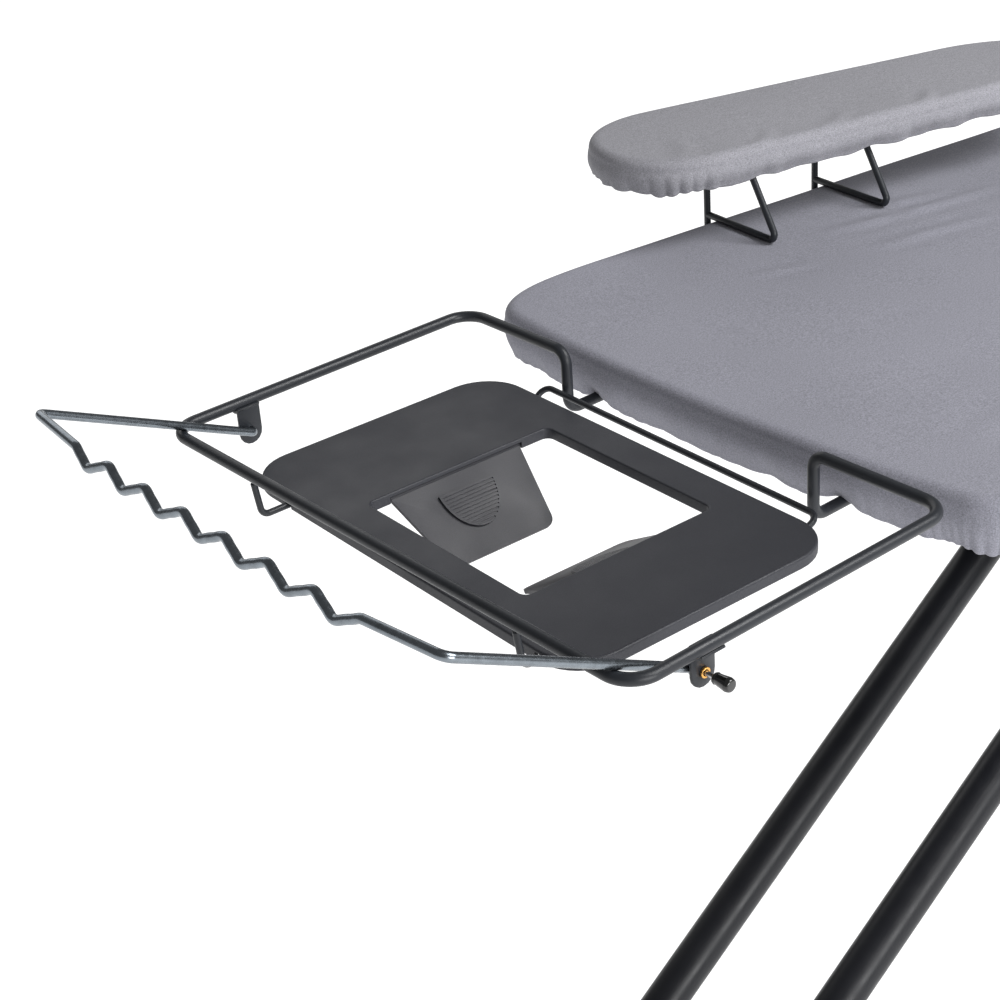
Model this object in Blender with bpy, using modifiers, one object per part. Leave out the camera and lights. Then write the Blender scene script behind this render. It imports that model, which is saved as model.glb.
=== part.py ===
"""Folding ironing board with a hinged sleeve board, an iron rest and a hanger rail.

Metres, +Z up. The design frame has +X from the tail to the nose, +Y to the sleeve board's side, and its
zero on the floor under the middle of the tail edge. The root empty moves the whole design so that the
world origin is on the floor under the middle of the object's box.
"""
import math

import bmesh
import bpy
from mathutils import Matrix, Vector
from mathutils.geometry import interpolate_bezier

# ---------------------------------------------------------------- driving dimensions
GAP = 0.0003                      # between touching pieces
BOX_CENTRE_X = 0.4436             # middle of the object's box in the design frame
BOX_CENTRE_Y = 0.0235

BOARD_TOP = 0.750                 # working height
BOARD_LENGTH = 1.240
COVER_BOTTOM = 0.7225
COVER_THICK = 0.0012
HEM_LIP = 0.012
FELT_THICK = 0.0032
SHEET = 0.0008                    # pressed steel of both boards
DECK_RIM_BOTTOM = 0.724

LEG_ANGLE = math.radians(33.55)   # from the horizontal, in the working position
LEG_TOP_Z = 0.694
LEG_A_TOP_X = 0.075               # hinged to the board
LEG_B_TOP_X = 0.6964              # slides in the rack
FOOT_RADIUS = 0.016
LEG_RADIUS = 0.015
LEG_WALL = 0.0009
LEG_A_Y = 0.094
LEG_B_Y = 0.059
BAR_RADIUS = 0.0125
PIVOT_PIN_RADIUS = 0.0040
PIVOT_BORE = 0.0044
CHANNEL_LOW_Z = 0.7216            # underside of the tail channel

LEVER_AXIS = (0.736, 0.7265)      # x and z of the height lever's rod

REST_Z = 0.758                    # plane of the rest's loop
REST_FRONT_X = -0.248
REST_REAR_X = -0.015
REST_HALF = 0.200
REST_WIRE = 0.0036
RISER_Y = 0.104
REST_LOW_Z = 0.7175               # bars under the board
REST_BAR_END_X = 0.046

TRAY_TOP = REST_Z - 0.024
TRAY_BOTTOM = REST_Z - 0.031
TRAY_X = (-0.2293, -0.0392)
TRAY_Y = (-0.1475, 0.1610)        # the tray sits a little off the middle
TRAY_TURN = math.radians(-1.94)   # and a little askew
TRAY_WALL = 0.0025
TRAY_CORNER = 0.030
TRAY_HOOK_Y = 0.1155              # hooks of the wire under the tray
WINDOW_X = (-0.200, -0.0645)
WINDOW_HALF = 0.0725
WINDOW_CORNER = 0.005
FLAP_TILT = {1: math.radians(44.0), -1: math.radians(28.0)}   # far and near flap
FLAP_HINGE = (0.0755, REST_Z - 0.0289)   # distance from the middle, height
FLAP_LENGTH = 0.0546
FLAP_WIDE = (-0.1828, -0.0861)    # at the hinge
FLAP_NARROWING = (0.0130, 0.0051)
FLAP_BARREL = 0.0020
FLAP_PIN = 0.0011
FLAP_PIN_REACH = 0.0050
FLAP_BOSS = (-0.1340, 0.0205, 0.0115, 0.0265)   # middle, half width, first distance, depth
FLAP_BOSS_RISE = 0.0016
FLAP_THICK = 0.0024

RAIL_PIVOT = (-0.1950, REST_Z - 0.0185)
RAIL_TILT = math.radians(25.9)
RAIL_WIRE = 0.0025
RAIL_ARM_Y = 0.1915               # far arm, which ends in a stub
EYE_Y = 0.1905                    # near arm, which ends in an eye
RAIL_CORNER = (0.1605, 0.1810)    # distance from the pivot, and from the middle
RAIL_WAVE_OUT = 0.1658
RAIL_SINK = 0.0025                # wave tops below the plane of the arms
RAIL_WAVES = 7
RAIL_PERIOD = 0.0370
RAIL_DEPTH = 0.0073

SLEEVE_TOP = 0.819
SLEEVE_BOTTOM = 0.798
SLEEVE_LIP = 0.005
SLEEVE_START = (0.140, 0.237)
SLEEVE_TURN = math.radians(-14.0)
SLEEVE_LENGTH = 0.410
STAND_WIRE = 0.0025
STAND_START = Vector((0.2233, 0.2138, 0))    # first stand's upright, on the hinge line
STAND_SPACING = 0.1045
STAND_REACH = (0.0772, 0.0804)    # from the upright to the near corner on the board
SLANT_SLOPE = 1.55                # rise over run of the slanting wire
EDGE_SLOPE = -0.1020              # taper of the board's long edges
SLEEVE_AXIS_Z = 0.712

# ---------------------------------------------------------------- derived places
LEG_RISE = LEG_TOP_Z - FOOT_RADIUS
LEG_LENGTH = LEG_RISE / math.sin(LEG_ANGLE)
UPPER_HALF = (LEG_B_TOP_X - LEG_A_TOP_X) / 2 / math.cos(LEG_ANGLE)
CROSS = Vector(((LEG_A_TOP_X + LEG_B_TOP_X) / 2, 0, LEG_TOP_Z - UPPER_HALF * math.sin(LEG_ANGLE)))
LEG_A_TOP = Vector((LEG_A_TOP_X, 0, LEG_TOP_Z))
LEG_B_TOP = Vector((LEG_B_TOP_X, 0, LEG_TOP_Z))
LEG_A_DIRECTION = Vector((math.cos(LEG_ANGLE), 0, -math.sin(LEG_ANGLE)))
LEG_B_DIRECTION = Vector((-math.cos(LEG_ANGLE), 0, -math.sin(LEG_ANGLE)))
AXIS_Y = Vector((0, 1, 0))
AXIS_X = Vector((1, 0, 0))
AXIS_Z = Vector((0, 0, 1))

COLOURS = {
    "frame": ((0.028, 0.032, 0.037), 0.42, 0.0),
    "zinc": ((0.55, 0.58, 0.60), 0.28, 1.0),
    "steel": ((0.45, 0.45, 0.46), 0.35, 1.0),
    "brass": ((0.70, 0.45, 0.18), 0.35, 1.0),
    "tray": ((0.050, 0.050, 0.058), 0.60, 0.0),
    "cap": ((0.015, 0.015, 0.017), 0.35, 0.0),
    "felt": ((0.75, 0.74, 0.70), 0.95, 0.0),
    "cover": ((0.26, 0.27, 0.30), 0.90, 0.0),
}


# ---------------------------------------------------------------- scene helpers
def clear_scene():
    for item in list(bpy.data.objects):
        bpy.data.objects.remove(item, do_unlink=True)


def new_collection(name):
    collection = bpy.data.collections.new(name)
    bpy.context.scene.collection.children.link(collection)
    return collection


def new_empty(name, location, parent=None):
    empty = bpy.data.objects.new(name, None)
    PARTS.objects.link(empty)
    empty.location = location
    empty.parent = parent
    return empty


def finish(item, colour=None):
    """Give a piece its own material, built from one of the named finishes."""
    rgb, roughness, metallic = COLOURS[colour]
    material = bpy.data.materials.new(item.name)
    material.use_nodes = True
    shader = material.node_tree.nodes["Principled BSDF"]
    shader.inputs["Base Color"].default_value = (*rgb, 1)
    shader.inputs["Roughness"].default_value = roughness
    shader.inputs["Metallic"].default_value = metallic
    item.data.materials.clear()
    item.data.materials.append(material)


def place(item, pivot):
    """Parent a piece whose mesh is in the design frame to a pivot empty."""
    item.parent = pivot
    if pivot is not ROOT:
        item.location = -pivot.location


def add_mesh(name, bm, colour=None, pivot=None):
    """Turn a bmesh into an object: a part if it has a colour, otherwise a cutter or a piece to join."""
    bmesh.ops.recalc_face_normals(bm, faces=bm.faces)
    mesh = bpy.data.meshes.new(name)
    bm.to_mesh(mesh)
    bm.free()
    mesh.shade_smooth()
    mesh.set_sharp_from_angle(angle=math.radians(35))
    item = bpy.data.objects.new(name, mesh)
    register(item, colour, pivot)
    return item


def register(item, colour, pivot):
    if colour is None:
        CUTTERS.objects.link(item)
        item.hide_render = True
        item.display_type = "WIRE"
    else:
        PARTS.objects.link(item)
        finish(item, colour)
    place(item, pivot or ROOT)


def combine(item, other, operation):
    modifier = item.modifiers.new(operation.title(), "BOOLEAN")
    modifier.operation = operation
    modifier.object = other
    modifier.solver = "EXACT"


def cut(item, *cutters):
    for cutter in cutters:
        combine(item, cutter, "DIFFERENCE")


def join(item, *others):
    for other in others:
        combine(item, other, "UNION")


# ---------------------------------------------------------------- shapes
def aim(start, end):
    """Matrix that takes +Z to the line from start to end, with its zero at the middle."""
    direction = Vector(end) - Vector(start)
    turn = AXIS_Z.rotation_difference(direction).to_matrix().to_4x4()
    return Matrix.Translation((Vector(start) + Vector(end)) / 2) @ turn


def rod(name, start, end, radius, colour=None, pivot=None, sides=16, end_radius=None):
    """Solid round bar, or a cone when it has an end radius."""
    bm = bmesh.new()
    bmesh.ops.create_cone(
        bm, cap_ends=True, segments=sides, radius1=radius,
        radius2=radius if end_radius is None else end_radius,
        depth=(Vector(end) - Vector(start)).length, matrix=aim(start, end))
    return add_mesh(name, bm, colour, pivot)


def pipe(name, start, end, radius, wall, colour, pivot=None, sides=20):
    """Hollow round tube with open ends."""
    bm = bmesh.new()
    bmesh.ops.create_cone(
        bm, cap_ends=False, segments=sides, radius1=radius, radius2=radius,
        depth=(Vector(end) - Vector(start)).length, matrix=aim(start, end))
    item = add_mesh(name, bm, colour, pivot)
    thicken(item, wall)
    return item


def thicken(item, thickness):
    modifier = item.modifiers.new("Wall", "SOLIDIFY")
    modifier.thickness = thickness
    modifier.offset = -1


def soften(item, width, segments=2):
    modifier = item.modifiers.new("Edges", "BEVEL")
    modifier.width = width
    modifier.segments = segments
    modifier.limit_method = "ANGLE"
    modifier.angle_limit = math.radians(40)


def box(name, low, high, colour=None, pivot=None):
    bm = bmesh.new()
    size = [b - a for a, b in zip(low, high)]
    centre = [(a + b) / 2 for a, b in zip(low, high)]
    bmesh.ops.create_cube(bm, size=1, matrix=Matrix.Translation(centre) @ Matrix.Diagonal((*size, 1)))
    return add_mesh(name, bm, colour, pivot)


def prism(name, outline, low, high, colour=None, pivot=None, frame=None):
    """Flat outline drawn in X and Y, raised from low to high, then moved by a frame matrix."""
    bm = bmesh.new()
    face = bm.faces.new([bm.verts.new((x, y, low)) for x, y in outline])
    raised = bmesh.ops.extrude_face_region(bm, geom=[face])["geom"]
    moved = [item for item in raised if isinstance(item, bmesh.types.BMVert)]
    bmesh.ops.translate(bm, verts=moved, vec=(0, 0, high - low))
    if frame is not None:
        bmesh.ops.transform(bm, matrix=frame, verts=bm.verts)
    return add_mesh(name, bm, colour, pivot)


def wire(name, points, radius, colour=None, pivot=None, resolution=2):
    """Bent round wire along a list of points, as a closed mesh."""
    curve = bpy.data.curves.new(name, "CURVE")
    curve.dimensions = "3D"
    curve.bevel_depth = radius
    curve.bevel_resolution = resolution
    curve.use_fill_caps = True
    spline = curve.splines.new("POLY")
    spline.points.add(len(points) - 1)
    for control, point in zip(spline.points, points):
        control.co = (*point, 1)
    draft = bpy.data.objects.new(name + "_draft", curve)
    bpy.context.scene.collection.objects.link(draft)
    bpy.context.view_layer.update()
    evaluated = draft.evaluated_get(bpy.context.evaluated_depsgraph_get())
    mesh = bpy.data.meshes.new_from_object(evaluated)
    bpy.data.objects.remove(draft, do_unlink=True)
    bm = bmesh.new()
    bm.from_mesh(mesh)
    bmesh.ops.remove_doubles(bm, verts=bm.verts, dist=0.00001)
    bpy.data.meshes.remove(mesh)
    return add_mesh(name, bm, colour, pivot)


def bent(points, radii, steps=5):
    """Path through corner points whose inner corners are rounded to the radii."""
    points = [Vector(point) for point in points]
    path = [points[0]]
    for before, corner, after, radius in zip(points, points[1:], points[2:], radii):
        back = (before - corner).normalized()
        ahead = (after - corner).normalized()
        half = back.angle(ahead) / 2
        reach = radius / math.tan(half)
        centre = corner + (back + ahead).normalized() * (radius / math.sin(half))
        start = corner + back * reach - centre
        end = corner + ahead * reach - centre
        sweep = start.angle(end)
        for index in range(steps + 1):
            t = index / steps
            blend = (start * math.sin((1 - t) * sweep) + end * math.sin(t * sweep)) / math.sin(sweep)
            path.append(centre + blend)
    path.append(points[-1])
    return path


def rounded_rectangle(low, high, radius, steps=6):
    centres = ((high[0] - radius, high[1] - radius, 0), (low[0] + radius, high[1] - radius, 90),
               (low[0] + radius, low[1] + radius, 180), (high[0] - radius, low[1] + radius, 270))
    outline = []
    for x, y, start in centres:
        for index in range(steps + 1):
            angle = math.radians(start + 90 * index / steps)
            outline.append((x + radius * math.cos(angle), y + radius * math.sin(angle)))
    return outline


def mirrored_outline(curves, steps):
    """Closed outline from Bezier stretches of the +Y half, mirrored in X's axis."""
    half = []
    for start, first, second, end in curves:
        points = interpolate_bezier(Vector(start), Vector(first), Vector(second), Vector(end), steps + 1)
        half += [(point.x, point.y) for point in points[:-1]]
    tip = curves[-1][3]
    lower = [(x, -y) for x, y in reversed(half[1:])]
    return half + [(tip[0], tip[1])] + lower


def inset(outline, distance):
    """Outline moved inwards along its own normals. The outlines run clockwise."""
    count = len(outline)
    result = []
    for index, (x, y) in enumerate(outline):
        before = Vector(outline[index - 1])
        after = Vector(outline[(index + 1) % count])
        along = (after - before).normalized()
        result.append((x + along.y * distance, y - along.x * distance))
    return result


def board_outline():
    length = BOARD_LENGTH
    side_start, side_end = (0.120, 0.2213), (length - 0.340, 0.2213 + EDGE_SLOPE * (length - 0.460))
    run = 0.150
    tail = ((0, 0), (0, 0.080), (0.006, 0.150), (0.012, 0.190))
    corner = ((0.012, 0.190), (0.018, 0.214), (0.040, 0.2235), (0.073, 0.2240))
    shoulder = ((0.073, 0.2240), (0.090, 0.2240), (0.105, 0.2230), side_start)
    nose = (side_end, (side_end[0] + run, side_end[1] + EDGE_SLOPE * run), (length, 0.085), (length, 0))
    return mirrored_outline((tail, corner, shoulder, nose), 7)


def sleeve_outline():
    length = SLEEVE_LENGTH
    wide = ((0, 0), (0, 0.036), (0.028, 0.0605), (0.066, 0.0605))
    side = ((0.066, 0.0605), (0.150, 0.0592), (0.250, 0.0547), (length - 0.080, 0.0522))
    nose = ((length - 0.080, 0.0522), (length - 0.040, 0.0508), (length, 0.032), (length, 0))
    return mirrored_outline((wide, side, nose), 7)


def pan(name, outline, top, bottom, thickness, lip, colour, pivot=None, frame=None):
    """Open shell under an outline: a top, side walls and an inward lip, thickened inwards."""
    bm = bmesh.new()
    rings = [(outline, top), (outline, bottom)]
    if lip:
        rings.append((inset(outline, lip), bottom))
    rows = [[bm.verts.new((x, y, z)) for x, y in points] for points, z in rings]
    bm.faces.new(rows[0])
    for upper, lower in zip(rows, rows[1:]):
        for index in range(len(upper)):
            bm.faces.new((upper[index - 1], upper[index], lower[index], lower[index - 1]))
    bmesh.ops.recalc_face_normals(bm, faces=bm.faces)
    if frame is not None:
        bmesh.ops.transform(bm, matrix=frame, verts=bm.verts)
    item = add_mesh(name, bm, colour, pivot)
    if sum(face.normal.z * face.area for face in item.data.polygons if face.index == 0) < 0:
        item.data.flip_normals()
    thicken(item, thickness)
    item.modifiers["Wall"].use_even_offset = True
    return item


def strip(name, profile, low, high, thickness, colour, pivot=None):
    """Sheet strap: a profile drawn in Y and Z, as wide as low to high along X."""
    bm = bmesh.new()
    near = [bm.verts.new((low, y, z)) for y, z in profile]
    far = [bm.verts.new((high, y, z)) for y, z in profile]
    for index in range(len(profile) - 1):
        bm.faces.new((near[index], near[index + 1], far[index + 1], far[index]))
    item = add_mesh(name, bm, colour, pivot)
    modifier = item.modifiers.new("Wall", "SOLIDIFY")
    modifier.thickness = thickness
    modifier.offset = 0
    return item


def dome(name, centre, radius, height, down=True):
    """Rivet head: a squashed half ball whose flat side is at the centre point."""
    bm = bmesh.new()
    bmesh.ops.create_uvsphere(bm, u_segments=12, v_segments=8, radius=1)
    bmesh.ops.bisect_plane(
        bm, geom=bm.verts[:] + bm.edges[:] + bm.faces[:], plane_co=(0, 0, 0), plane_no=(0, 0, 1),
        clear_outer=down, clear_inner=not down)
    rim = [edge for edge in bm.edges if edge.is_boundary]
    bmesh.ops.contextual_create(bm, geom=rim)
    matrix = Matrix.Translation(centre) @ Matrix.Diagonal((radius, radius, height, 1))
    bmesh.ops.transform(bm, matrix=matrix, verts=bm.verts)
    return add_mesh(name, bm, "steel")


def side_name(sign):
    return "far" if sign > 0 else "near"


# ---------------------------------------------------------------- main board
def make_board():
    outline = board_outline()
    inner = inset(outline, COVER_THICK + 2 * GAP)
    felt_low = BOARD_TOP - COVER_THICK - GAP - FELT_THICK
    pan("board_cover", outline, BOARD_TOP, COVER_BOTTOM, COVER_THICK, HEM_LIP, "cover")
    prism("board_felt", inner, felt_low, felt_low + FELT_THICK, "felt")
    pan("board_deck", inner, felt_low - GAP, DECK_RIM_BOTTOM, SHEET, 0, "frame")


def deck_underside():
    return BOARD_TOP - COVER_THICK - FELT_THICK - 2 * GAP - SHEET


def make_tail_channel():
    """Pressed channel across the board's tail, which the rest and the hinged leg frame hang from."""
    top = deck_underside() - GAP
    low_x, high_x = 0.021, 0.100
    low_z = CHANNEL_LOW_Z
    wall = 0.0015
    channel = box("tail_channel", (low_x, -0.150, low_z), (high_x, 0.150, top), "frame")
    hollow = box(
        "tail_channel_hollow", (low_x + wall, -0.160, low_z + wall), (high_x - wall, 0.160, top + 0.01))
    cut(channel, hollow)


def make_rack():
    """Channel with a long slot and height notches, which the sliding axle runs in."""
    top = deck_underside() - GAP
    half, wall = 0.027, 0.002
    low, high = 0.575, 0.852
    rack = box("leg_rack", (low, -half, LEG_TOP_Z - 0.014), (high, half, top), "frame")
    hollow = box(
        "rack_hollow", (low - 0.01, -half + wall, LEG_TOP_Z - 0.02), (high + 0.01, half - wall, top - wall))
    slot_radius = 0.0056
    slot_low, slot_high = 0.585, 0.838
    outline = []
    for centre, start in ((slot_high, -90), (slot_low, 90)):
        for index in range(9):
            angle = math.radians(start + 22.5 * index)
            outline.append((centre + slot_radius * math.cos(angle), slot_radius * math.sin(angle)))
    upright = Matrix.Translation((0, 0, LEG_TOP_Z)) @ Matrix.Rotation(math.radians(90), 4, "X")
    slot = prism("rack_slot", outline, -0.05, 0.05, frame=upright)
    cut(rack, hollow, slot)
    notch_count = 6
    for index in range(notch_count):
        x = LEG_B_TOP_X + 0.030 * (index - 3)
        start, end = (x, -0.05, LEG_TOP_Z + 0.004), (x, 0.05, LEG_TOP_Z + 0.004)
        notch = rod(f"rack_notch_{index}", start, end, 0.0057)
        cut(rack, notch)


# ---------------------------------------------------------------- iron rest
def make_rest_frame():
    corners = [
        (REST_BAR_END_X, RISER_Y, REST_LOW_Z), (REST_REAR_X, RISER_Y, REST_LOW_Z), (REST_REAR_X, RISER_Y, REST_Z),
        (REST_REAR_X, REST_HALF, REST_Z), (REST_FRONT_X, REST_HALF, REST_Z),
    ]
    radii = [0.009, 0.009, 0.017, 0.017]
    corners += [(x, -y, z) for x, y, z in reversed(corners)]
    radii += list(reversed(radii))
    wire("rest_frame", bent(corners, radii), REST_WIRE, "frame")


def make_rest_saddles():
    """Two straps under the tail channel that hold the rest's bars, each with two rivets."""
    for sign in (1, -1):
        middle = sign * RISER_Y
        tab_z = CHANNEL_LOW_Z - GAP - 0.0006
        radius = REST_WIRE + GAP + 0.0006
        profile = [(middle - 0.015, tab_z), (middle - radius, tab_z)]
        for index in range(1, 8):
            angle = math.radians(180 + 180 * index / 8)
            profile.append((middle + radius * math.cos(angle), REST_LOW_Z + radius * math.sin(angle)))
        profile += [(middle + radius, tab_z), (middle + 0.015, tab_z)]
        strip(f"rest_saddle_{side_name(sign)}", profile, 0.025, 0.041, 0.0012, "frame")
        for number, offset in enumerate((-0.0105, 0.0105)):
            centre = (0.033, middle + offset, tab_z - 0.0006 - GAP)
            dome(f"rest_rivet_{side_name(sign)}_{number + 1}", centre, 0.0032, 0.0016)


def make_tray_wire():
    """Thin wire under the tray: hooks at the front bar, two runners and a slightly skewed rear rail."""
    radius = 0.0020
    runner_y = 0.119
    sides = []
    for sign, runner_x, rail_x, rail_z in ((1, -0.0312, -0.0213, -0.0262), (-1, -0.0392, -0.0272, -0.0292)):
        sides.append([
            (REST_FRONT_X + 0.0015, sign * TRAY_HOOK_Y, REST_Z - REST_WIRE - radius - GAP),
            (REST_FRONT_X + 0.0045, sign * TRAY_HOOK_Y, REST_Z - 0.0285),
            (runner_x, sign * runner_y, TRAY_BOTTOM - radius - 3 * GAP),
            (rail_x, sign * runner_y, REST_Z + rail_z),
        ])
    radii = [0.006, 0.006, 0.007]
    path = bent(sides[0] + list(reversed(sides[1])), radii + list(reversed(radii)))
    wire("tray_wire", path, radius, "frame")


def tray_turn():
    """The tray and its flaps are drawn square to the rest, then turned a little about this point."""
    middle = Matrix.Translation((-0.134, 0, 0))
    return middle @ Matrix.Rotation(TRAY_TURN, 4, "Z") @ middle.inverted()


def make_tray():
    """Shallow moulded tray with a window, and ears beside the window that carry the flaps' pins."""
    outer = rounded_rectangle((TRAY_X[0], TRAY_Y[0]), (TRAY_X[1], TRAY_Y[1]), TRAY_CORNER)
    tray = prism("iron_tray", outer, TRAY_BOTTOM, TRAY_TOP, "tray")
    low = (TRAY_X[0] + TRAY_WALL, TRAY_Y[0] + TRAY_WALL)
    high = (TRAY_X[1] - TRAY_WALL, TRAY_Y[1] - TRAY_WALL)
    under_top = TRAY_TOP - TRAY_WALL
    hollow = prism(
        "tray_hollow", rounded_rectangle(low, high, TRAY_CORNER - TRAY_WALL), TRAY_BOTTOM - 0.01, under_top)
    collar = rounded_rectangle(
        (WINDOW_X[0] - TRAY_WALL, -WINDOW_HALF - TRAY_WALL), (WINDOW_X[1] + TRAY_WALL, WINDOW_HALF + TRAY_WALL),
        WINDOW_CORNER + TRAY_WALL)
    collar_block = prism("tray_collar", collar, TRAY_BOTTOM - 0.02, TRAY_TOP + 0.02)
    cut(hollow, collar_block)
    window = rounded_rectangle((WINDOW_X[0], -WINDOW_HALF), (WINDOW_X[1], WINDOW_HALF), WINDOW_CORNER)
    opening = prism("tray_window", window, TRAY_BOTTOM - 0.01, TRAY_TOP + 0.01)
    cut(tray, hollow, opening)
    turned = [tray, hollow, collar_block, opening]
    side_gap = 0.0010
    ear_length = 0.0060
    for sign in (1, -1):
        side = side_name(sign)
        notch = box(
            f"tray_notch_{side}", (TRAY_X[0] - 0.01, sign * TRAY_HOOK_Y - 0.003, TRAY_BOTTOM - 0.01),
            (TRAY_X[0] + 0.012, sign * TRAY_HOOK_Y + 0.003, REST_Z - 0.0258))
        cut(tray, notch)
        y, z = sign * FLAP_HINGE[0], FLAP_HINGE[1]
        edges = sorted((sign * (WINDOW_HALF - 0.001), sign * (FLAP_HINGE[0] + 0.004)))
        pass_under = box(
            f"flap_gap_{side}", (FLAP_WIDE[0] - side_gap, edges[0], TRAY_BOTTOM - 0.01),
            (FLAP_WIDE[1] + side_gap, edges[1], under_top))
        cut(tray, pass_under)
        turned.append(pass_under)
        edges = sorted((sign * (WINDOW_HALF + 0.0004), sign * (FLAP_HINGE[0] + 0.0035)))
        for number, ear_low in enumerate((FLAP_WIDE[0] - 0.0012 - ear_length, FLAP_WIDE[1] + 0.0012)):
            ear = box(
                f"tray_ear_{side}_{number}", (ear_low, edges[0], TRAY_BOTTOM),
                (ear_low + ear_length, edges[1], TRAY_TOP - 0.001))
            bore = rod(
                f"tray_bore_{side}_{number}", (ear_low - 0.002, y, z), (ear_low + ear_length + 0.002, y, z),
                FLAP_PIN + GAP)
            join(tray, ear)
            cut(tray, bore)
            turned += [ear, bore]
    for item in turned:
        item.data.transform(tray_turn())


def make_flap(sign, pivot):
    """Hinged flap of the window: a tapered plate with a half-round grip, on a barrel with two pins."""
    name = f"tray_flap_{side_name(sign)}"
    narrow = (FLAP_WIDE[0] + FLAP_NARROWING[0], FLAP_WIDE[1] - FLAP_NARROWING[1])
    outline = [(FLAP_WIDE[0], 0.0010), (FLAP_WIDE[1], 0.0010)]
    corner = 0.007
    for centre, start in ((narrow[1] - corner, 0), (narrow[0] + corner, 90)):
        for index in range(5):
            angle = math.radians(start + 22.5 * index)
            outline.append((centre + corner * math.cos(angle), FLAP_LENGTH - corner + corner * math.sin(angle)))
    middle, half, first, depth = FLAP_BOSS
    grip = []
    for index in range(13):
        angle = math.pi * index / 12
        grip.append((middle + half * math.cos(angle), first + depth * math.sin(angle)))
    y, z = sign * FLAP_HINGE[0], FLAP_HINGE[1]
    down = Matrix.Rotation(-FLAP_TILT[sign], 4, "X")
    frame = tray_turn() @ Matrix.Translation((0, y, z)) @ (Matrix.Diagonal((1, -sign, 1, 1)) @ down)
    plate = prism(name, outline, -FLAP_THICK / 2, FLAP_THICK / 2, "tray", pivot, frame)
    boss = prism(name + "_boss", grip, 0, FLAP_THICK / 2 + FLAP_BOSS_RISE, None, pivot, frame)
    barrel = rod(name + "_barrel", (FLAP_WIDE[0], y, z), (FLAP_WIDE[1], y, z), FLAP_BARREL, None, pivot, 12)
    pins = rod(
        name + "_pins", (FLAP_WIDE[0] - FLAP_PIN_REACH, y, z), (FLAP_WIDE[1] + FLAP_PIN_REACH, y, z), FLAP_PIN,
        None, pivot, 10)
    for item in (barrel, pins):
        item.data.transform(tray_turn())
    join(plate, boss, barrel, pins)


# ---------------------------------------------------------------- hanger rail
def rail_point(distance, y, lift=0.0):
    """Point on the rail: distance out from its pivot, and lift square to its plane."""
    x = RAIL_PIVOT[0] - distance * math.cos(RAIL_TILT) + lift * math.sin(RAIL_TILT)
    z = RAIL_PIVOT[1] + distance * math.sin(RAIL_TILT) + lift * math.cos(RAIL_TILT)
    return (x, y, z)


def make_rail(pivot):
    """Bent wire with a wavy outer run; one arm ends in a stub, the other in an eye for the release pin."""
    half_waves = RAIL_PERIOD * RAIL_WAVES / 2
    corner_out, corner_y = RAIL_CORNER
    bow = 0.002
    path = bent(
        [rail_point(0, 0.2060), rail_point(0, RAIL_ARM_Y), rail_point(corner_out, corner_y),
         rail_point(RAIL_WAVE_OUT, half_waves, -RAIL_SINK)], [0.004, 0.006], 4)[:-1]
    steps = 8 * RAIL_WAVES
    for index in range(steps + 1):
        y = half_waves - 2 * half_waves * index / steps
        phase = 2 * math.pi * y / RAIL_PERIOD
        wave = (math.cos(phase) + 0.10 * math.cos(3 * phase)) / 1.10
        lift = -RAIL_SINK - RAIL_DEPTH * (1 + wave) / 2
        path.append(Vector(rail_point(RAIL_WAVE_OUT + bow * (1 - (y / half_waves) ** 2), y, lift)))
    path += bent(
        [rail_point(RAIL_WAVE_OUT, -half_waves, -RAIL_SINK), rail_point(corner_out, -corner_y),
         rail_point(0.004, -EYE_Y + 0.0005)], [0.006], 4)[1:]
    rail = wire("hanger_rail", path, RAIL_WIRE, "zinc", pivot)
    eye = rod("rail_eye", rail_point(0, -EYE_Y - 0.0020), rail_point(0, -EYE_Y + 0.0020), 0.0048, None, pivot)
    bore = rod("rail_bore", rail_point(0, -0.205), rail_point(0, -0.180), 0.0018, None, pivot)
    join(rail, eye)
    cut(rail, bore)


def make_hanger_bracket(sign):
    """Plate beside a side bar of the rest, with a strap round the bar and a hole for the rail's pivot."""
    name = f"hanger_bracket_{side_name(sign)}"
    half, strap_thick = 0.0080, 0.0016
    face_y, thick, top_z, first, last, hole = {
        1: (0.1958, 0.0016, REST_Z - 0.0031, 200, 340, 0.0028),
        -1: (-0.1950, 0.0020, REST_Z - 0.0010, 240, 350, 0.0018),
    }[sign]
    x, pivot_z = RAIL_PIVOT
    outline = [(x + half, top_z), (x - half, top_z)]
    for index in range(9):
        angle = math.radians(180 + 22.5 * index)
        outline.append((x + half * math.cos(angle), pivot_z - 0.0008 + half * math.sin(angle)))
    upright = Matrix(((1, 0, 0, 0), (0, 0, 1, face_y), (0, 1, 0, 0), (0, 0, 0, 1)))
    plate = prism(name, outline, 0, thick, "frame", None, upright)
    radius = REST_WIRE + GAP + strap_thick / 2
    profile = []
    for index in range(9):
        angle = math.radians(first + (last - first) * index / 8)
        profile.append((sign * REST_HALF + radius * math.cos(angle), REST_Z + radius * math.sin(angle)))
    strap = strip(name + "_strap", profile, x - half, x + half, strap_thick, None)
    bore = rod(name + "_bore", (x, sign * 0.18, pivot_z), (x, sign * 0.21, pivot_z), hole)
    join(plate, strap)
    cut(plate, bore)


def make_release_pin(pivot):
    """Sprung pull pin with a black knob, in a brass bush on the near bracket."""
    x, z = RAIL_PIVOT
    bush = rod("hanger_bush", (x, -0.1953, z), (x, -0.1968, z), 0.0030, "brass")
    cut(bush, rod("hanger_bush_bore", (x, -0.190, z), (x, -0.210, z), 0.0018))
    rod("hanger_pin", (x, -0.1875, z), (x, -0.2024, z), 0.0014, "steel", pivot, 12)
    knob = rod("hanger_knob", (x, -0.2027, z), (x, -0.2140, z), 0.0029, "cap", pivot, 16, 0.0040)
    soften(knob, 0.0011, 2)


# ---------------------------------------------------------------- legs
def along(start, direction, distance, y):
    point = start + direction * distance
    return Vector((point.x, y, point.z))


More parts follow.
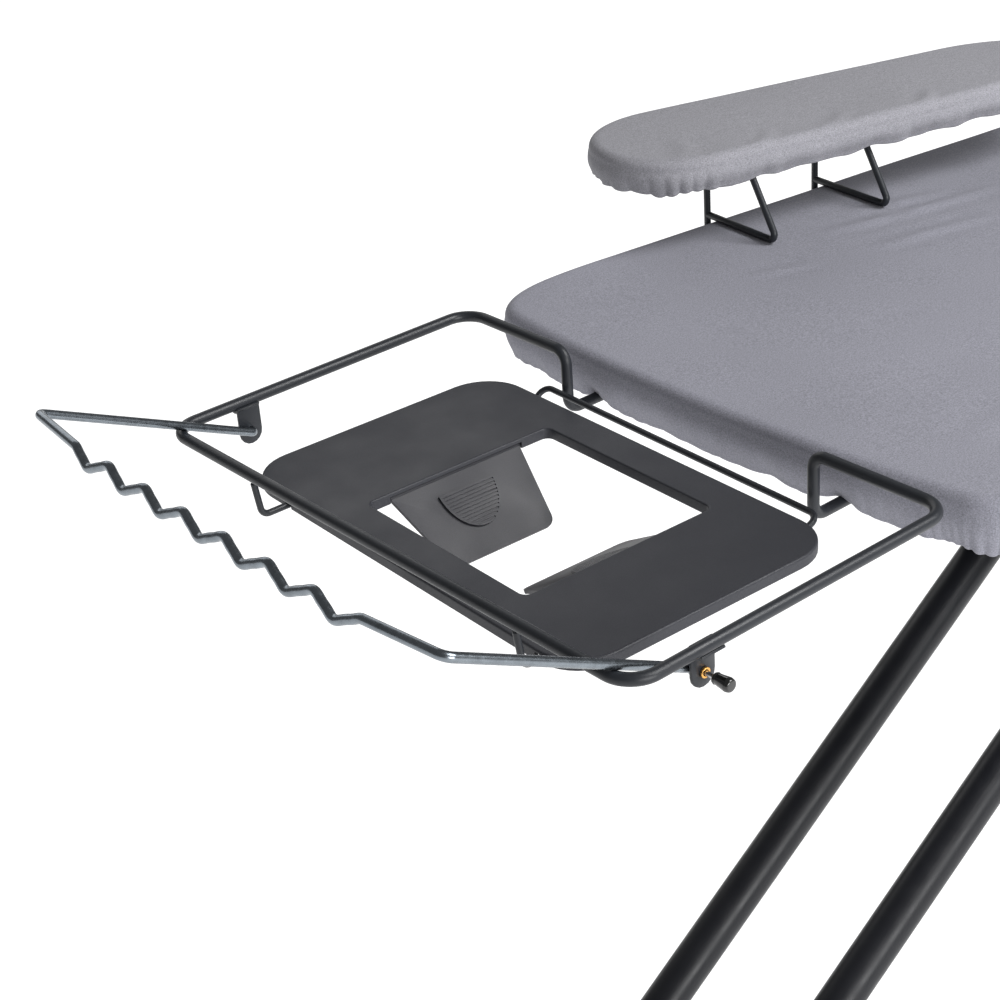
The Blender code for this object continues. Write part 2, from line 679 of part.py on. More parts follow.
def make_leg(letter, top, direction, y, bar_half, pivot):
    """One leg frame: two tubes, a foot bar and two end caps."""
    foot = top + direction * LEG_LENGTH
    bores = []
    for label, place_at, radius, sides in (
            ("saddle", foot, BAR_RADIUS + GAP, 24), ("top_bore", top, PIVOT_BORE, 16),
            ("cross_bore", CROSS, PIVOT_BORE, 16)):
        start, end = (place_at.x, -0.2, place_at.z), (place_at.x, 0.2, place_at.z)
        bores.append(rod(f"leg_{letter}_{label}", start, end, radius, None, pivot, sides))
    for sign in (1, -1):
        start = along(top, direction, -0.015, sign * y)
        end = along(top, direction, LEG_LENGTH, sign * y)
        tube = pipe(
            f"leg_{letter}_tube_{side_name(sign)}", start, end, LEG_RADIUS, LEG_WALL, "frame", pivot)
        cut(tube, *bores)
    start, end = (foot.x, -bar_half, foot.z), (foot.x, bar_half, foot.z)
    pipe(f"leg_{letter}_foot", start, end, BAR_RADIUS, LEG_WALL, "frame", pivot)
    for sign in (1, -1):
        outer, inner = sign * (bar_half + 0.010), sign * (bar_half - 0.030)
        start, end = (foot.x, inner, foot.z), (foot.x, outer, foot.z)
        cap = rod(f"leg_{letter}_cap_{side_name(sign)}", start, end, FOOT_RADIUS, "cap", pivot, 24)
        start, end = (foot.x, inner - sign * 0.01, foot.z), (foot.x, sign * (bar_half + GAP), foot.z)
        hole = rod(
            f"leg_{letter}_cap_bore_{side_name(sign)}", start, end, BAR_RADIUS + GAP, None, pivot, 20)
        cut(cap, hole)


def make_clevises():
    """Two forks under the tail channel and the pins that the hinged leg frame turns on."""
    half, wall = 0.013, 0.0016
    x, z = LEG_A_TOP_X, LEG_TOP_Z
    top = CHANNEL_LOW_Z - GAP
    for sign in (1, -1):
        side = side_name(sign)
        inner, outer = LEG_A_Y - 0.0180, LEG_A_Y + 0.0180
        low, high = sorted((sign * inner, sign * outer))
        fork = box(f"leg_clevis_{side}", (x - half, low, z - half), (x + half, high, top), "frame")
        hollow = box(
            f"clevis_hollow_{side}", (x - 0.02, low + wall, z - 0.02), (x + 0.02, high - wall, top - wall))
        bore = rod(f"clevis_bore_{side}", (x, low - 0.01, z), (x, high + 0.01, z), PIVOT_BORE)
        cut(fork, hollow, bore)
        start, end = (x, sign * (inner + 0.0004), z), (x, sign * (outer + 0.001), z)
        pin = rod(f"leg_pin_{side}", start, end, PIVOT_PIN_RADIUS, "steel")
        start, end = (x, sign * (outer + GAP), z), (x, sign * (outer + 0.003), z)
        join(pin, rod(f"leg_pin_head_{side}", start, end, 0.0065))


def make_cross_bolts(pivot):
    """A bolt on each side, through both leg frames where they cross, with a spacer between the tubes."""
    x, z = CROSS.x, CROSS.z
    inside, outside = LEG_B_Y - LEG_RADIUS, LEG_A_Y + LEG_RADIUS
    for sign in (1, -1):
        side = side_name(sign)
        start, end = (x, sign * (inside - 0.004), z), (x, sign * (outside + 0.002), z)
        bolt = rod(f"cross_bolt_{side}", start, end, PIVOT_PIN_RADIUS, "steel", pivot)
        heads = ((inside - 0.006, inside - 0.0008), (outside + 0.0008, outside + 0.005))
        for number, (low, high) in enumerate(heads):
            start, end = (x, sign * low, z), (x, sign * high, z)
            join(bolt, rod(f"cross_head_{side}_{number}", start, end, 0.0075, None, pivot))
        low, high = LEG_B_Y + LEG_RADIUS + 2 * GAP, LEG_A_Y - LEG_RADIUS - 2 * GAP
        start, end = (x, sign * low, z), (x, sign * high, z)
        spacer = rod(f"cross_spacer_{side}", start, end, 0.010, "cap", pivot, 20)
        start, end = (x, sign * (low - 0.014), z), (x, sign * (high + 0.016), z)
        cut(spacer, rod(f"spacer_bore_{side}", start, end, PIVOT_BORE, None, pivot))


def make_slide_axle(pivot):
    """Axle of the sliding leg frame, with a round keeper on each end."""
    x, z = LEG_B_TOP_X, LEG_TOP_Z
    axle = rod("slide_axle", (x, -0.0762, z), (x, 0.0762, z), 0.0040, "steel", pivot)
    roller_y = 0.0215
    roller = rod("slide_roller", (x, -roller_y, z), (x, roller_y, z), 0.0052, "cap", pivot)
    cut(roller, rod("roller_bore", (x, -0.05, z), (x, 0.05, z), 0.0040 + GAP, None, pivot))
    for sign in (1, -1):
        start, end = (x, sign * 0.0745, z), (x, sign * 0.0765, z)
        keeper = rod(f"keeper_{side_name(sign)}", start, end, 0.0065, None, pivot)
        join(axle, keeper)


def make_lever(pivot):
    """Height release: a rod that turns in the rack, with a catch over the axle and a side handle."""
    x, z = LEVER_AXIS
    radius = 0.0030
    path = bent([(x, 0.031, z), (x, -0.128, z), (x + 0.062, -0.132, z - 0.010)], [0.010])
    wire("height_lever", path, radius, "frame", pivot)
    backwards = (path[-2] - path[-1]).normalized()
    tip = path[-1] - backwards * 0.004
    grip = rod("height_grip", tip, tip + backwards * 0.046, 0.0062, "cap", pivot)
    start, end = tip + backwards * 0.0037, tip + backwards * 0.06
    cut(grip, rod("grip_bore", start, end, radius + GAP, None, pivot, 12))
    axle_x, axle_z = LEG_B_TOP_X, LEG_TOP_Z
    outline = [
        (x + 0.008, z - 0.006), (x + 0.008, z + 0.006), (x - 0.006, z + 0.008),
        (axle_x - 0.010, axle_z + 0.014),
        (axle_x - 0.010, axle_z + 0.0062), (axle_x + 0.010, axle_z + 0.0062), (x - 0.010, z - 0.010),
    ]
    upright = Matrix(((1, 0, 0, 0), (0, 0, 1, 0), (0, 1, 0, 0), (0, 0, 0, 1)))
    catch = prism("height_catch", outline, -0.0015, 0.0015, "frame", pivot, upright)
    cut(catch, rod("catch_bore", (x, -0.01, z), (x, 0.01, z), radius + GAP, None, pivot, 12))
    lever_bore = rod("lever_bore", (x, -0.05, z), (x, 0.05, z), radius + GAP)
    cut(bpy.data.objects["leg_rack"], lever_bore)


# ---------------------------------------------------------------- sleeve board
def sleeve_frame():
    return Matrix.Translation((*SLEEVE_START, 0)) @ Matrix.Rotation(SLEEVE_TURN, 4, "Z")


def make_sleeve_board(pivot):
    outline = sleeve_outline()
    frame = sleeve_frame()
    inner = inset(outline, COVER_THICK + 2 * GAP)
    felt_low = SLEEVE_TOP - COVER_THICK - GAP - FELT_THICK
    pan("sleeve_cover", outline, SLEEVE_TOP, SLEEVE_BOTTOM, COVER_THICK, SLEEVE_LIP, "cover", pivot, frame)
    prism("sleeve_felt", inner, felt_low, felt_low + FELT_THICK, "felt", pivot, frame)
    low = SLEEVE_BOTTOM + COVER_THICK + GAP
    pan("sleeve_deck", inner, felt_low - GAP, low, SHEET, 0, "frame", pivot, frame)


def hinge_direction():
    """The sleeve board's hinge line runs along the main board's far edge."""
    return Vector((1, EDGE_SLOPE, 0)).normalized()


def hinge_point(distance):
    """Point on the hinge line, measured from the first stand."""
    return STAND_START + hinge_direction() * distance + Vector((0, 0, SLEEVE_AXIS_Z))


def stand_frame(distance):
    """Matrix of a stand: X points away from the board, Y back along the hinge line, zero on the hinge line."""
    along = hinge_direction()
    place_at = STAND_START + along * distance
    return Matrix((
        (-along.y, -along.x, 0, place_at.x), (along.x, -along.y, 0, place_at.y), (0, 0, 1, 0), (0, 0, 0, 1)))


def make_sleeve_stands(pivot):
    """Two bent wires from the hinge rod, up to the sleeve board, down to the main board and back."""
    top = SLEEVE_TOP - COVER_THICK - 2 * GAP - FELT_THICK - SHEET - GAP - STAND_WIRE
    low = BOARD_TOP + GAP + STAND_WIRE
    for number, reach in enumerate(STAND_REACH):
        frame = stand_frame(STAND_SPACING * number)
        slant_top = -reach + (top - low) / SLANT_SLOPE
        corners = [
            (0, 0, SLEEVE_AXIS_Z + 0.003 + GAP), (0, 0, top), (slant_top, 0, top), (-reach, 0, low),
            (-STAND_WIRE - GAP, 0, low),
        ]
        path = [frame @ point for point in bent(corners, [0.006, 0.006, 0.0045])]
        wire(f"sleeve_stand_{number + 1}", path, STAND_WIRE, "frame", pivot)
        radius = STAND_WIRE + GAP + 0.0006
        tab_z = top + STAND_WIRE - 0.0006
        profile = [(-0.012, tab_z), (-radius, tab_z)]
        for index in range(1, 8):
            angle = math.radians(180 + 180 * index / 8)
            profile.append((radius * math.cos(angle), top + radius * math.sin(angle)))
        profile += [(radius, tab_z), (0.012, tab_z)]
        middle = slant_top / 2
        strap_ends = (middle - 0.007, middle + 0.007)
        strap = strip(f"sleeve_strap_{number + 1}", profile, *strap_ends, 0.0012, "frame", pivot)
        strap.data.transform(frame)


def make_sleeve_hinge(pivot):
    """Hinge rod under the board's edge and the two clips that it turns in."""
    rod("sleeve_hinge_rod", hinge_point(-0.028), hinge_point(0.130), 0.0030, "steel", pivot)
    axis = hinge_direction()
    inward = Vector((axis.y, -axis.x, 0))
    for number, distance in enumerate((-0.016, 0.118)):
        centre = hinge_point(distance)
        turn = Matrix((
            (-axis.x, inward.x, 0, centre.x), (-axis.y, inward.y, 0, centre.y), (0, 0, 1, 0), (0, 0, 0, 1)))
        eye_top = SLEEVE_AXIS_Z + 0.0052
        half = 0.007
        bar = box(f"clip_bar_{number}", (-half, 0, eye_top - 0.002), (half, 0.036, eye_top))
        upright = box(
            f"clip_upright_{number}", (-0.006, 0.0335, eye_top - 0.001),
            (0.006, 0.0355, deck_underside() - GAP))
        start, end = (-half, 0, SLEEVE_AXIS_Z), (half, 0, SLEEVE_AXIS_Z)
        clip = rod(f"sleeve_clip_{number + 1}", start, end, 0.0052, "frame")
        bore = rod(f"clip_bore_{number}", (-0.02, 0, SLEEVE_AXIS_Z), (0.02, 0, SLEEVE_AXIS_Z), 0.0033)
        for item in (bar, upright, clip, bore):
            item.data.transform(turn)
        join(clip, bar, upright)
        cut(clip, bore)


# ---------------------------------------------------------------- build
clear_scene()
PARTS = new_collection("sleeve_ironing_board")
CUTTERS = new_collection("cutters")
ROOT = new_empty("root", (-BOX_CENTRE_X, -BOX_CENTRE_Y, 0))
PIVOT_A = new_empty("pivot_leg_a", LEG_A_TOP, ROOT)
PIVOT_B = new_empty("pivot_leg_b", CROSS, ROOT)
PIVOT_RAIL = new_empty("pivot_rail", (RAIL_PIVOT[0], 0, RAIL_PIVOT[1]), ROOT)
PIVOT_PIN = new_empty("pivot_release_pin", (RAIL_PIVOT[0], -0.2, RAIL_PIVOT[1]), ROOT)
PIVOT_LEVER = new_empty("pivot_lever", (LEVER_AXIS[0], 0, LEVER_AXIS[1]), ROOT)
PIVOT_SLEEVE = new_empty("pivot_sleeve", hinge_point(0), ROOT)
FLAP_PIVOTS = {
    sign: new_empty(
        f"pivot_flap_{side_name(sign)}",
        tray_turn() @ Vector((-0.134, sign * FLAP_HINGE[0], FLAP_HINGE[1])), ROOT)
    for sign in (1, -1)}

make_board()
make_tail_channel()
make_rack()
make_rest_frame()
make_rest_saddles()
make_tray_wire()
make_tray()
make_rail(PIVOT_RAIL)
make_release_pin(PIVOT_PIN)
for side in (1, -1):
    make_flap(side, FLAP_PIVOTS[side])
    make_hanger_bracket(side)
make_leg("a", LEG_A_TOP, LEG_A_DIRECTION, LEG_A_Y, 0.190, PIVOT_A)
make_leg("b", LEG_B_TOP, LEG_B_DIRECTION, LEG_B_Y, 0.225, PIVOT_B)
make_clevises()
make_cross_bolts(PIVOT_A)
make_slide_axle(PIVOT_B)
make_lever(PIVOT_LEVER)
make_sleeve_board(PIVOT_SLEEVE)
make_sleeve_stands(PIVOT_SLEEVE)
make_sleeve_hinge(PIVOT_SLEEVE)
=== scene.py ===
"""Visual model of the folding ironing board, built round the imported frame.

Shapes are drawn in the design frame: metres, +X from the tail to the nose, +Y to the sleeve board's side, zero
on the floor under the middle of the tail edge. ORIGIN moves them into the row frame.
"""
import math

import bmesh
import bpy
import numpy as np
from mathutils import Matrix, Vector
from mathutils.geometry import interpolate_bezier


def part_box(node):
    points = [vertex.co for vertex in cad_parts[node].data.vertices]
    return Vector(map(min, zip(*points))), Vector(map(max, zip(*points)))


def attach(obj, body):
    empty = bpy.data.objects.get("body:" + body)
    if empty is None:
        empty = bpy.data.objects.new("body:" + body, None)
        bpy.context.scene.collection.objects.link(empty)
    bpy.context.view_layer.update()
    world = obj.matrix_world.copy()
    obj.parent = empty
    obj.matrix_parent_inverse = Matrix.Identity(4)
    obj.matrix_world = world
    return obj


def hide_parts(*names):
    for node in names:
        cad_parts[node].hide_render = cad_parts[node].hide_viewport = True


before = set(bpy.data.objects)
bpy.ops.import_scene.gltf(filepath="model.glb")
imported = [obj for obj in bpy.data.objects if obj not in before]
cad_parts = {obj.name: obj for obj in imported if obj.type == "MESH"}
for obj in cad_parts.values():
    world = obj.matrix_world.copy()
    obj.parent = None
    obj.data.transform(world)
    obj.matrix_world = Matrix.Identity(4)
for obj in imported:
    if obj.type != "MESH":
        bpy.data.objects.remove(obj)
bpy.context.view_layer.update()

# ---------------------------------------------------------------- dimensions, as in the part
GAP = 0.0003

BOARD_TOP = 0.750
BOARD_LENGTH = 1.240
EDGE_SLOPE = -0.1020
LEG_ANGLE = math.radians(33.55)
LEG_TOP_Z = 0.694
LEG_A_TOP_X = 0.075
LEG_B_TOP_X = 0.6964
LEG_RADIUS = 0.015
LEG_WALL = 0.0009
LEG_A_Y = 0.094
LEG_B_Y = 0.059
FOOT_RADIUS = 0.016
BAR_RADIUS = 0.0125

REST_Z = 0.758
REST_FRONT_X = -0.248
REST_REAR_X = -0.015
REST_HALF = 0.200
REST_WIRE = 0.0036
RISER_Y = 0.104
REST_LOW_Z = 0.7175
REST_BAR_END_X = 0.046

TRAY_TOP = REST_Z - 0.024
TRAY_BOTTOM = REST_Z - 0.031
TRAY_X = (-0.2293, -0.0392)
TRAY_Y = (-0.1475, 0.1610)
TRAY_TURN = math.radians(-1.94)
TRAY_WALL = 0.0025
TRAY_CORNER = 0.030
TRAY_HOOK_Y = 0.1155
WINDOW_X = (-0.200, -0.0645)
WINDOW_HALF = 0.0725
WINDOW_CORNER = 0.005
FLAP_TILT = {1: math.radians(44.0), -1: math.radians(28.0)}
FLAP_HINGE = (0.0755, REST_Z - 0.0289)
FLAP_LENGTH = 0.0546
FLAP_WIDE = (-0.1828, -0.0861)
FLAP_NARROWING = (0.0130, 0.0051)
FLAP_BARREL = 0.0020
FLAP_PIN = 0.0011
FLAP_PIN_REACH = 0.0050
FLAP_BOSS = (-0.1340, 0.0205, 0.0115, 0.0265)
FLAP_BOSS_RISE = 0.0016
FLAP_THICK = 0.0024

RAIL_PIVOT = (-0.1950, REST_Z - 0.0185)
RAIL_TILT = math.radians(25.9)
RAIL_WIRE = 0.0027
RAIL_ARM_Y = 0.1915
EYE_Y = 0.1905
RAIL_CORNER = (0.1605, 0.1810)
RAIL_WAVE_OUT = 0.1658
RAIL_SINK = 0.0025
RAIL_WAVES = 7
RAIL_PERIOD = 0.0370
RAIL_DEPTH = 0.0073

SLEEVE_TOP = 0.819
SLEEVE_START = (0.140, 0.237)
SLEEVE_TURN = math.radians(-14.0)
SLEEVE_LENGTH = 0.410
SLEEVE_AXIS_Z = 0.712
COVER_THICK = 0.0012
FELT_THICK = 0.0032
SHEET = 0.0008
STAND_WIRE = 0.0025
STAND_START = Vector((0.2233, 0.2138, 0))
STAND_SPACING = 0.1045
STAND_REACH = (0.0772, 0.0804)
SLANT_SLOPE = 1.55

AXIS_Y = Vector((0, 1, 0))
COVER_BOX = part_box("board_cover")
ORIGIN = Vector((COVER_BOX[0][0], (COVER_BOX[0][1] + COVER_BOX[1][1]) / 2, 0))


# ---------------------------------------------------------------- materials
def principled(name, roughness, metallic=0.0, specular=0.5, coat=0.0, coat_roughness=0.1, sheen=0.0):
    """New node material; returns it, its tree and its shader."""
    material = bpy.data.materials.new(name)
    material.use_nodes = True
    shader = material.node_tree.nodes["Principled BSDF"]
    shader.inputs["Roughness"].default_value = roughness
    shader.inputs["Metallic"].default_value = metallic
    shader.inputs["Specular IOR Level"].default_value = specular
    shader.inputs["Coat Weight"].default_value = coat
    shader.inputs["Coat Roughness"].default_value = coat_roughness
    shader.inputs["Sheen Weight"].default_value = sheen
    shader.inputs["Sheen Roughness"].default_value = 0.5
    return material, material.node_tree, shader


def coordinates(tree, scale=(1, 1, 1)):
    """Object coordinates, stretched."""
    source = tree.nodes.new("ShaderNodeTexCoord")
    mapping = tree.nodes.new("ShaderNodeMapping")
    mapping.inputs["Scale"].default_value = scale
    tree.links.new(source.outputs["Object"], mapping.inputs["Vector"])
    return mapping.outputs["Vector"]


def noise(tree, vector, scale, detail=2.0, roughness=0.5):
    node = tree.nodes.new("ShaderNodeTexNoise")
    node.inputs["Scale"].default_value = scale
    node.inputs["Detail"].default_value = detail
    node.inputs["Roughness"].default_value = roughness
    tree.links.new(vector, node.inputs["Vector"])
    return node.outputs["Fac"]


def ramp(tree, factor, stops):
    node = tree.nodes.new("ShaderNodeValToRGB")
    elements = node.color_ramp.elements
    while len(elements) < len(stops):
        elements.new(0.5)
    for element, (position, value) in zip(elements, stops):
        element.position = position
        element.color = (*value, 1) if hasattr(value, "__len__") else (value, value, value, 1)
    tree.links.new(factor, node.inputs["Fac"])
    return node.outputs["Color"]


def mix(tree, blend, factor, first, second):
    node = tree.nodes.new("ShaderNodeMix")
    node.data_type = "RGBA"
    node.blend_type = blend
    if hasattr(factor, "is_linked"):
        tree.links.new(factor, node.inputs["Factor"])
    else:
        node.inputs["Factor"].default_value = factor
    for value, socket in ((first, node.inputs[6]), (second, node.inputs[7])):
        if hasattr(value, "is_linked"):
            tree.links.new(value, socket)
        else:
            socket.default_value = (*value, 1)
    return node.outputs[2]


def bump(tree, shader, height, strength, distance, under=None):
    node = tree.nodes.new("ShaderNodeBump")
    node.inputs["Strength"].default_value = strength
    node.inputs["Distance"].default_value = distance
    tree.links.new(height, node.inputs["Height"])
    if under is not None:
        tree.links.new(under, node.inputs["Normal"])
    tree.links.new(node.outputs["Normal"], shader.inputs["Normal"])
    return node.outputs["Normal"]


def paint(tree, shader, colour, roughness=None):
    tree.links.new(colour, shader.inputs["Base Color"])
    if roughness is not None:
        tree.links.new(roughness, shader.inputs["Roughness"])


def powder_coat(name, colour, rough=(0.36, 0.46), peel=1500, specular=0.3):
    """Satin powder coat: slight orange peel, a little unevenness in tone and gloss."""
    material, tree, shader = principled(name, 0.42, specular=specular)
    vector = coordinates(tree)
    tone = ramp(tree, noise(tree, vector, 9, 3), [
        (0.3, tuple(c * 0.88 for c in colour)), (0.7, tuple(c * 1.12 for c in colour))])
    gloss = ramp(tree, noise(tree, vector, 55, 3), [(0.3, rough[0]), (0.7, rough[1])])
    paint(tree, shader, tone, gloss)
    bump(tree, shader, noise(tree, vector, peel, 2), 0.10, 0.0002)
    return material


def moulded(name, colour, rough=(0.50, 0.62), grain=2200, depth=0.25, specular=0.3):
    """Moulded plastic with a fine spark-eroded grain."""
    material, tree, shader = principled(name, 0.55, specular=specular)
    vector = coordinates(tree)
    speck = noise(tree, vector, grain, 3, 0.6)
    tone = ramp(tree, speck, [(0.35, tuple(c * 0.80 for c in colour)), (0.68, tuple(c * 1.25 for c in colour))])
    gloss = ramp(tree, noise(tree, vector, 30, 2), [(0.3, rough[0]), (0.7, rough[1])])
    paint(tree, shader, tone, gloss)
    bump(tree, shader, speck, depth, 0.00015)
    return material


def metal(name, colour, rough=(0.22, 0.36), streak=(1, 1, 1)):
    """Plated or turned metal with faint cloudy dulling."""
    material, tree, shader = principled(name, 0.3, metallic=1.0)
    vector = coordinates(tree, streak)
    tone = ramp(tree, noise(tree, vector, 160, 4, 0.6), [
        (0.3, tuple(c * 0.84 for c in colour)), (0.7, tuple(min(1, c * 1.12) for c in colour))])
    gloss = ramp(tree, noise(tree, vector, 420, 3), [(0.3, rough[0]), (0.7, rough[1])])
    paint(tree, shader, tone, gloss)
    bump(tree, shader, noise(tree, vector, 900, 2), 0.05, 0.0001)
    return material


def heather_cloth(name, dark, light):
    """Heather grey cotton: pale and dark fibres along the yarns, a plain weave and faint slubs."""
    material, tree, shader = principled(name, 0.9, specular=0.15, sheen=0.12)
    vector = coordinates(tree)
    along = coordinates(tree, (0.6, 1, 1))
    across = coordinates(tree, (1, 0.6, 1))
    fibres = mix(tree, "MIX", 0.5, noise(tree, along, 1600, 3, 0.62), noise(tree, across, 1400, 3, 0.62))
    middle = tuple((a + b) / 2 for a, b in zip(dark, light))
    colour = ramp(tree, fibres, [(0.36, dark), (0.50, middle), (0.64, light)])
    slubs = ramp(tree, noise(tree, along, 500, 3, 0.6), [(0.35, 0.86), (0.62, 1.0)])
    clouds = ramp(tree, noise(tree, vector, 7, 3), [(0.3, 0.94), (0.7, 1.04)])
    colour = mix(tree, "MULTIPLY", 0.55, colour, slubs)
    colour = mix(tree, "MULTIPLY", 1.0, colour, clouds)
    paint(tree, shader, colour)
    weave = None
    for direction in ("X", "Y", "Z"):
        wave = tree.nodes.new("ShaderNodeTexWave")
        wave.bands_direction = direction
        wave.inputs["Scale"].default_value = 520
        wave.inputs["Distortion"].default_value = 0.6
        tree.links.new(vector, wave.inputs["Vector"])
        bands = wave.outputs["Color"]
        weave = bands if weave is None else mix(tree, "LIGHTEN", 1.0, weave, bands)
    threads = bump(tree, shader, weave, 0.12, 0.00025)
    bump(tree, shader, noise(tree, vector, 900, 3), 0.14, 0.0003, threads)
    return material


def felt_cloth(name, colour):
    material, tree, shader = principled(name, 0.95, specular=0.1, sheen=0.25)
    vector = coordinates(tree)
    fibres = noise(tree, vector, 900, 5, 0.7)
    paint(tree, shader, ramp(tree, fibres, [
        (0.3, tuple(c * 0.75 for c in colour)), (0.7, tuple(min(1, c * 1.1) for c in colour))]))
    bump(tree, shader, fibres, 0.6, 0.0008)
    return material


FRAME_BLACK = powder_coat("frame_coat", (0.017, 0.019, 0.023), (0.34, 0.44), 1500, 0.32)
LEG_BLACK = powder_coat("leg_coat", (0.009, 0.0095, 0.012), (0.34, 0.46), 1100, 0.30)
TRAY_GREY = moulded("tray_moulding", (0.026, 0.027, 0.033), (0.42, 0.52))
FLAP_GREY = moulded("flap_moulding", (0.022, 0.022, 0.027), (0.44, 0.54))
CAP_BLACK = moulded("cap_moulding", (0.014, 0.014, 0.016), (0.34, 0.46), 1500, 0.12)
GRIP_BLACK = moulded("grip_moulding", (0.015, 0.015, 0.017), (0.40, 0.52), 1300, 0.3)
ZINC = metal("zinc_plate", (0.21, 0.235, 0.26), (0.20, 0.32))
STEEL = metal("steel_plate", (0.50, 0.50, 0.52))
BRASS = metal("brass_turned", (0.78, 0.42, 0.12), (0.22, 0.34))
COVER = heather_cloth("cover_cloth", (0.168, 0.169, 0.197), (0.335, 0.335, 0.388))
SLEEVE_COVER = heather_cloth("sleeve_cloth", (0.172, 0.171, 0.188), (0.340, 0.338, 0.368))
FELT = felt_cloth("felt_pad", (0.62, 0.56, 0.48))


def gloss_black():
    material, tree, shader = principled("knob_gloss", 0.14, specular=0.5, coat=0.4, coat_roughness=0.05)
    vector = coordinates(tree)
    paint(tree, shader, ramp(tree, noise(tree, vector, 120, 2), [(0.3, 0.006), (0.7, 0.012)]),
          ramp(tree, noise(tree, vector, 260, 2), [(0.3, 0.12), (0.7, 0.20)]))
    bump(tree, shader, noise(tree, vector, 500, 2), 0.03, 0.0001)
    return material


KNOB = gloss_black()


# ---------------------------------------------------------------- mesh helpers
def bent(points, radii, steps=14):
    """Path through corner points whose inner corners are rounded to the radii."""
    points = [Vector(point) for point in points]
    path = [points[0]]
    for before, corner, after, radius in zip(points, points[1:], points[2:], radii):
        back = (before - corner).normalized()
        ahead = (after - corner).normalized()
        half = back.angle(ahead) / 2
        reach = radius / math.tan(half)
        centre = corner + (back + ahead).normalized() * (radius / math.sin(half))
        start = corner + back * reach - centre
        end = corner + ahead * reach - centre
        sweep = start.angle(end)
        for index in range(steps + 1):
            t = index / steps
            blend = (start * math.sin((1 - t) * sweep) + end * math.sin(t * sweep)) / math.sin(sweep)
            path.append(centre + blend)
    path.append(points[-1])
    return path


def add_piece(name, bm, material, body, nodes=(), smooth=35, shift=True):
    """Turn a bmesh in the design frame into a piece that rides on a body and replaces its nodes."""
    if shift:
        bmesh.ops.translate(bm, verts=bm.verts, vec=ORIGIN)
    bmesh.ops.recalc_face_normals(bm, faces=bm.faces)
    mesh = bpy.data.meshes.new(name)
    bm.to_mesh(mesh)
    bm.free()
    mesh.shade_smooth()
    if smooth is not None:
        mesh.set_sharp_from_angle(angle=math.radians(smooth))
    mesh.materials.append(material)
    piece = bpy.data.objects.new(name, mesh)
    bpy.context.scene.collection.objects.link(piece)
    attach(piece, body)
    if nodes:
        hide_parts(*nodes)
    return piece


def loft(bm, rings, closed_ring=True, loop=False):
    """Faces between rings of vertices; a ring of one vertex is a pole."""
    pairs = list(zip(rings, rings[1:]))
    if loop:
        pairs.append((rings[-1], rings[0]))
    for first, second in pairs:
        count = max(len(first), len(second))
        for index in range(count if closed_ring else count - 1):
            after = (index + 1) % count
            if len(first) == 1:
                bm.faces.new((first[0], second[after], second[index]))
            elif len(second) == 1:
                bm.faces.new((first[index], first[after], second[0]))
            else:
                bm.faces.new((first[index], first[after], second[after], second[index]))


def tube_into(bm, path, radius, sides=28, rounding=0.3, cap_start=True, cap_end=True):
    """Round wire along a path, with rounded-over ends."""
    points = [Vector(path[0])]
    for point in path[1:]:
        if (Vector(point) - points[-1]).length > 2e-5:
            points.append(Vector(point))
    tangents = []
    for index in range(len(points)):
        before = points[max(index - 1, 0)]
        after = points[min(index + 1, len(points) - 1)]
        tangents.append((after - before).normalized())
    tangents[0] = (points[1] - points[0]).normalized()
    tangents[-1] = (points[-1] - points[-2]).normalized()
    normal = tangents[0].orthogonal().normalized()
    rings = []

    def ring(centre, tangent, size):
        side = tangent.cross(normal)
        return [
            bm.verts.new(centre + (normal * math.cos(a) + side * math.sin(a)) * size)
            for a in (2 * math.pi * k / sides for k in range(sides))]

    edge = radius * rounding
    for index, (point, tangent) in enumerate(zip(points, tangents)):
        normal = (normal - tangent * normal.dot(tangent)).normalized()
        if index == 0 and cap_start:
            for step in range(4):
                angle = math.pi / 2 * step / 4
                inward = edge * (1 - math.sin(angle))
                rings.append(ring(point + tangent * (edge - edge * math.cos(angle)) , tangent, radius - inward))
            rings.append(ring(point + tangent * edge, tangent, radius))
        elif index == len(points) - 1 and cap_end:
            rings.append(ring(point - tangent * edge, tangent, radius))
            for step in range(1, 5):
                angle = math.pi / 2 * step / 4
                inward = edge * (1 - math.cos(angle))
                rings.append(ring(point - tangent * (edge - edge * math.sin(angle)), tangent, radius - inward))
        else:
            rings.append(ring(point, tangent, radius))
    loft(bm, rings)
    if cap_start:
        bm.faces.new(rings[0])
    if cap_end:
        bm.faces.new(rings[-1])


def wire(name, path, radius, material, body, nodes=(), sides=28):
    bm = bmesh.new()
    tube_into(bm, path, radius, sides)
    return add_piece(name, bm, material, body, nodes, smooth=50)


def turn_into(bm, start, direction, profile, sides=64, loop=False):
    """Turned shape: a profile of (distance along the axis, radius)."""
    start, direction = Vector(start), Vector(direction).normalized()
    normal = direction.orthogonal().normalized()
    side = direction.cross(normal)
    rings = []
    for distance, radius in profile:
        centre = start + direction * distance
        if radius <= 0:
            rings.append([bm.verts.new(centre)])
            continue
        rings.append([
            bm.verts.new(centre + (normal * math.cos(a) + side * math.sin(a)) * radius)
            for a in (2 * math.pi * k / sides for k in range(sides))])
    loft(bm, rings, loop=loop)


def cylinder(radius, length):
    """Profile of a plain cylinder, closed at both ends."""
    return [(0, 0), (0, radius), (length, radius), (length, 0)]


def rounded_profile(points, radius, steps=4):
    """Profile points whose inner corners are rounded over."""
    radii = radius if hasattr(radius, "__len__") else [radius] * (len(points) - 2)
    return [(p.x, p.y) for p in bent([(a, b, 0) for a, b in points], radii, steps)]


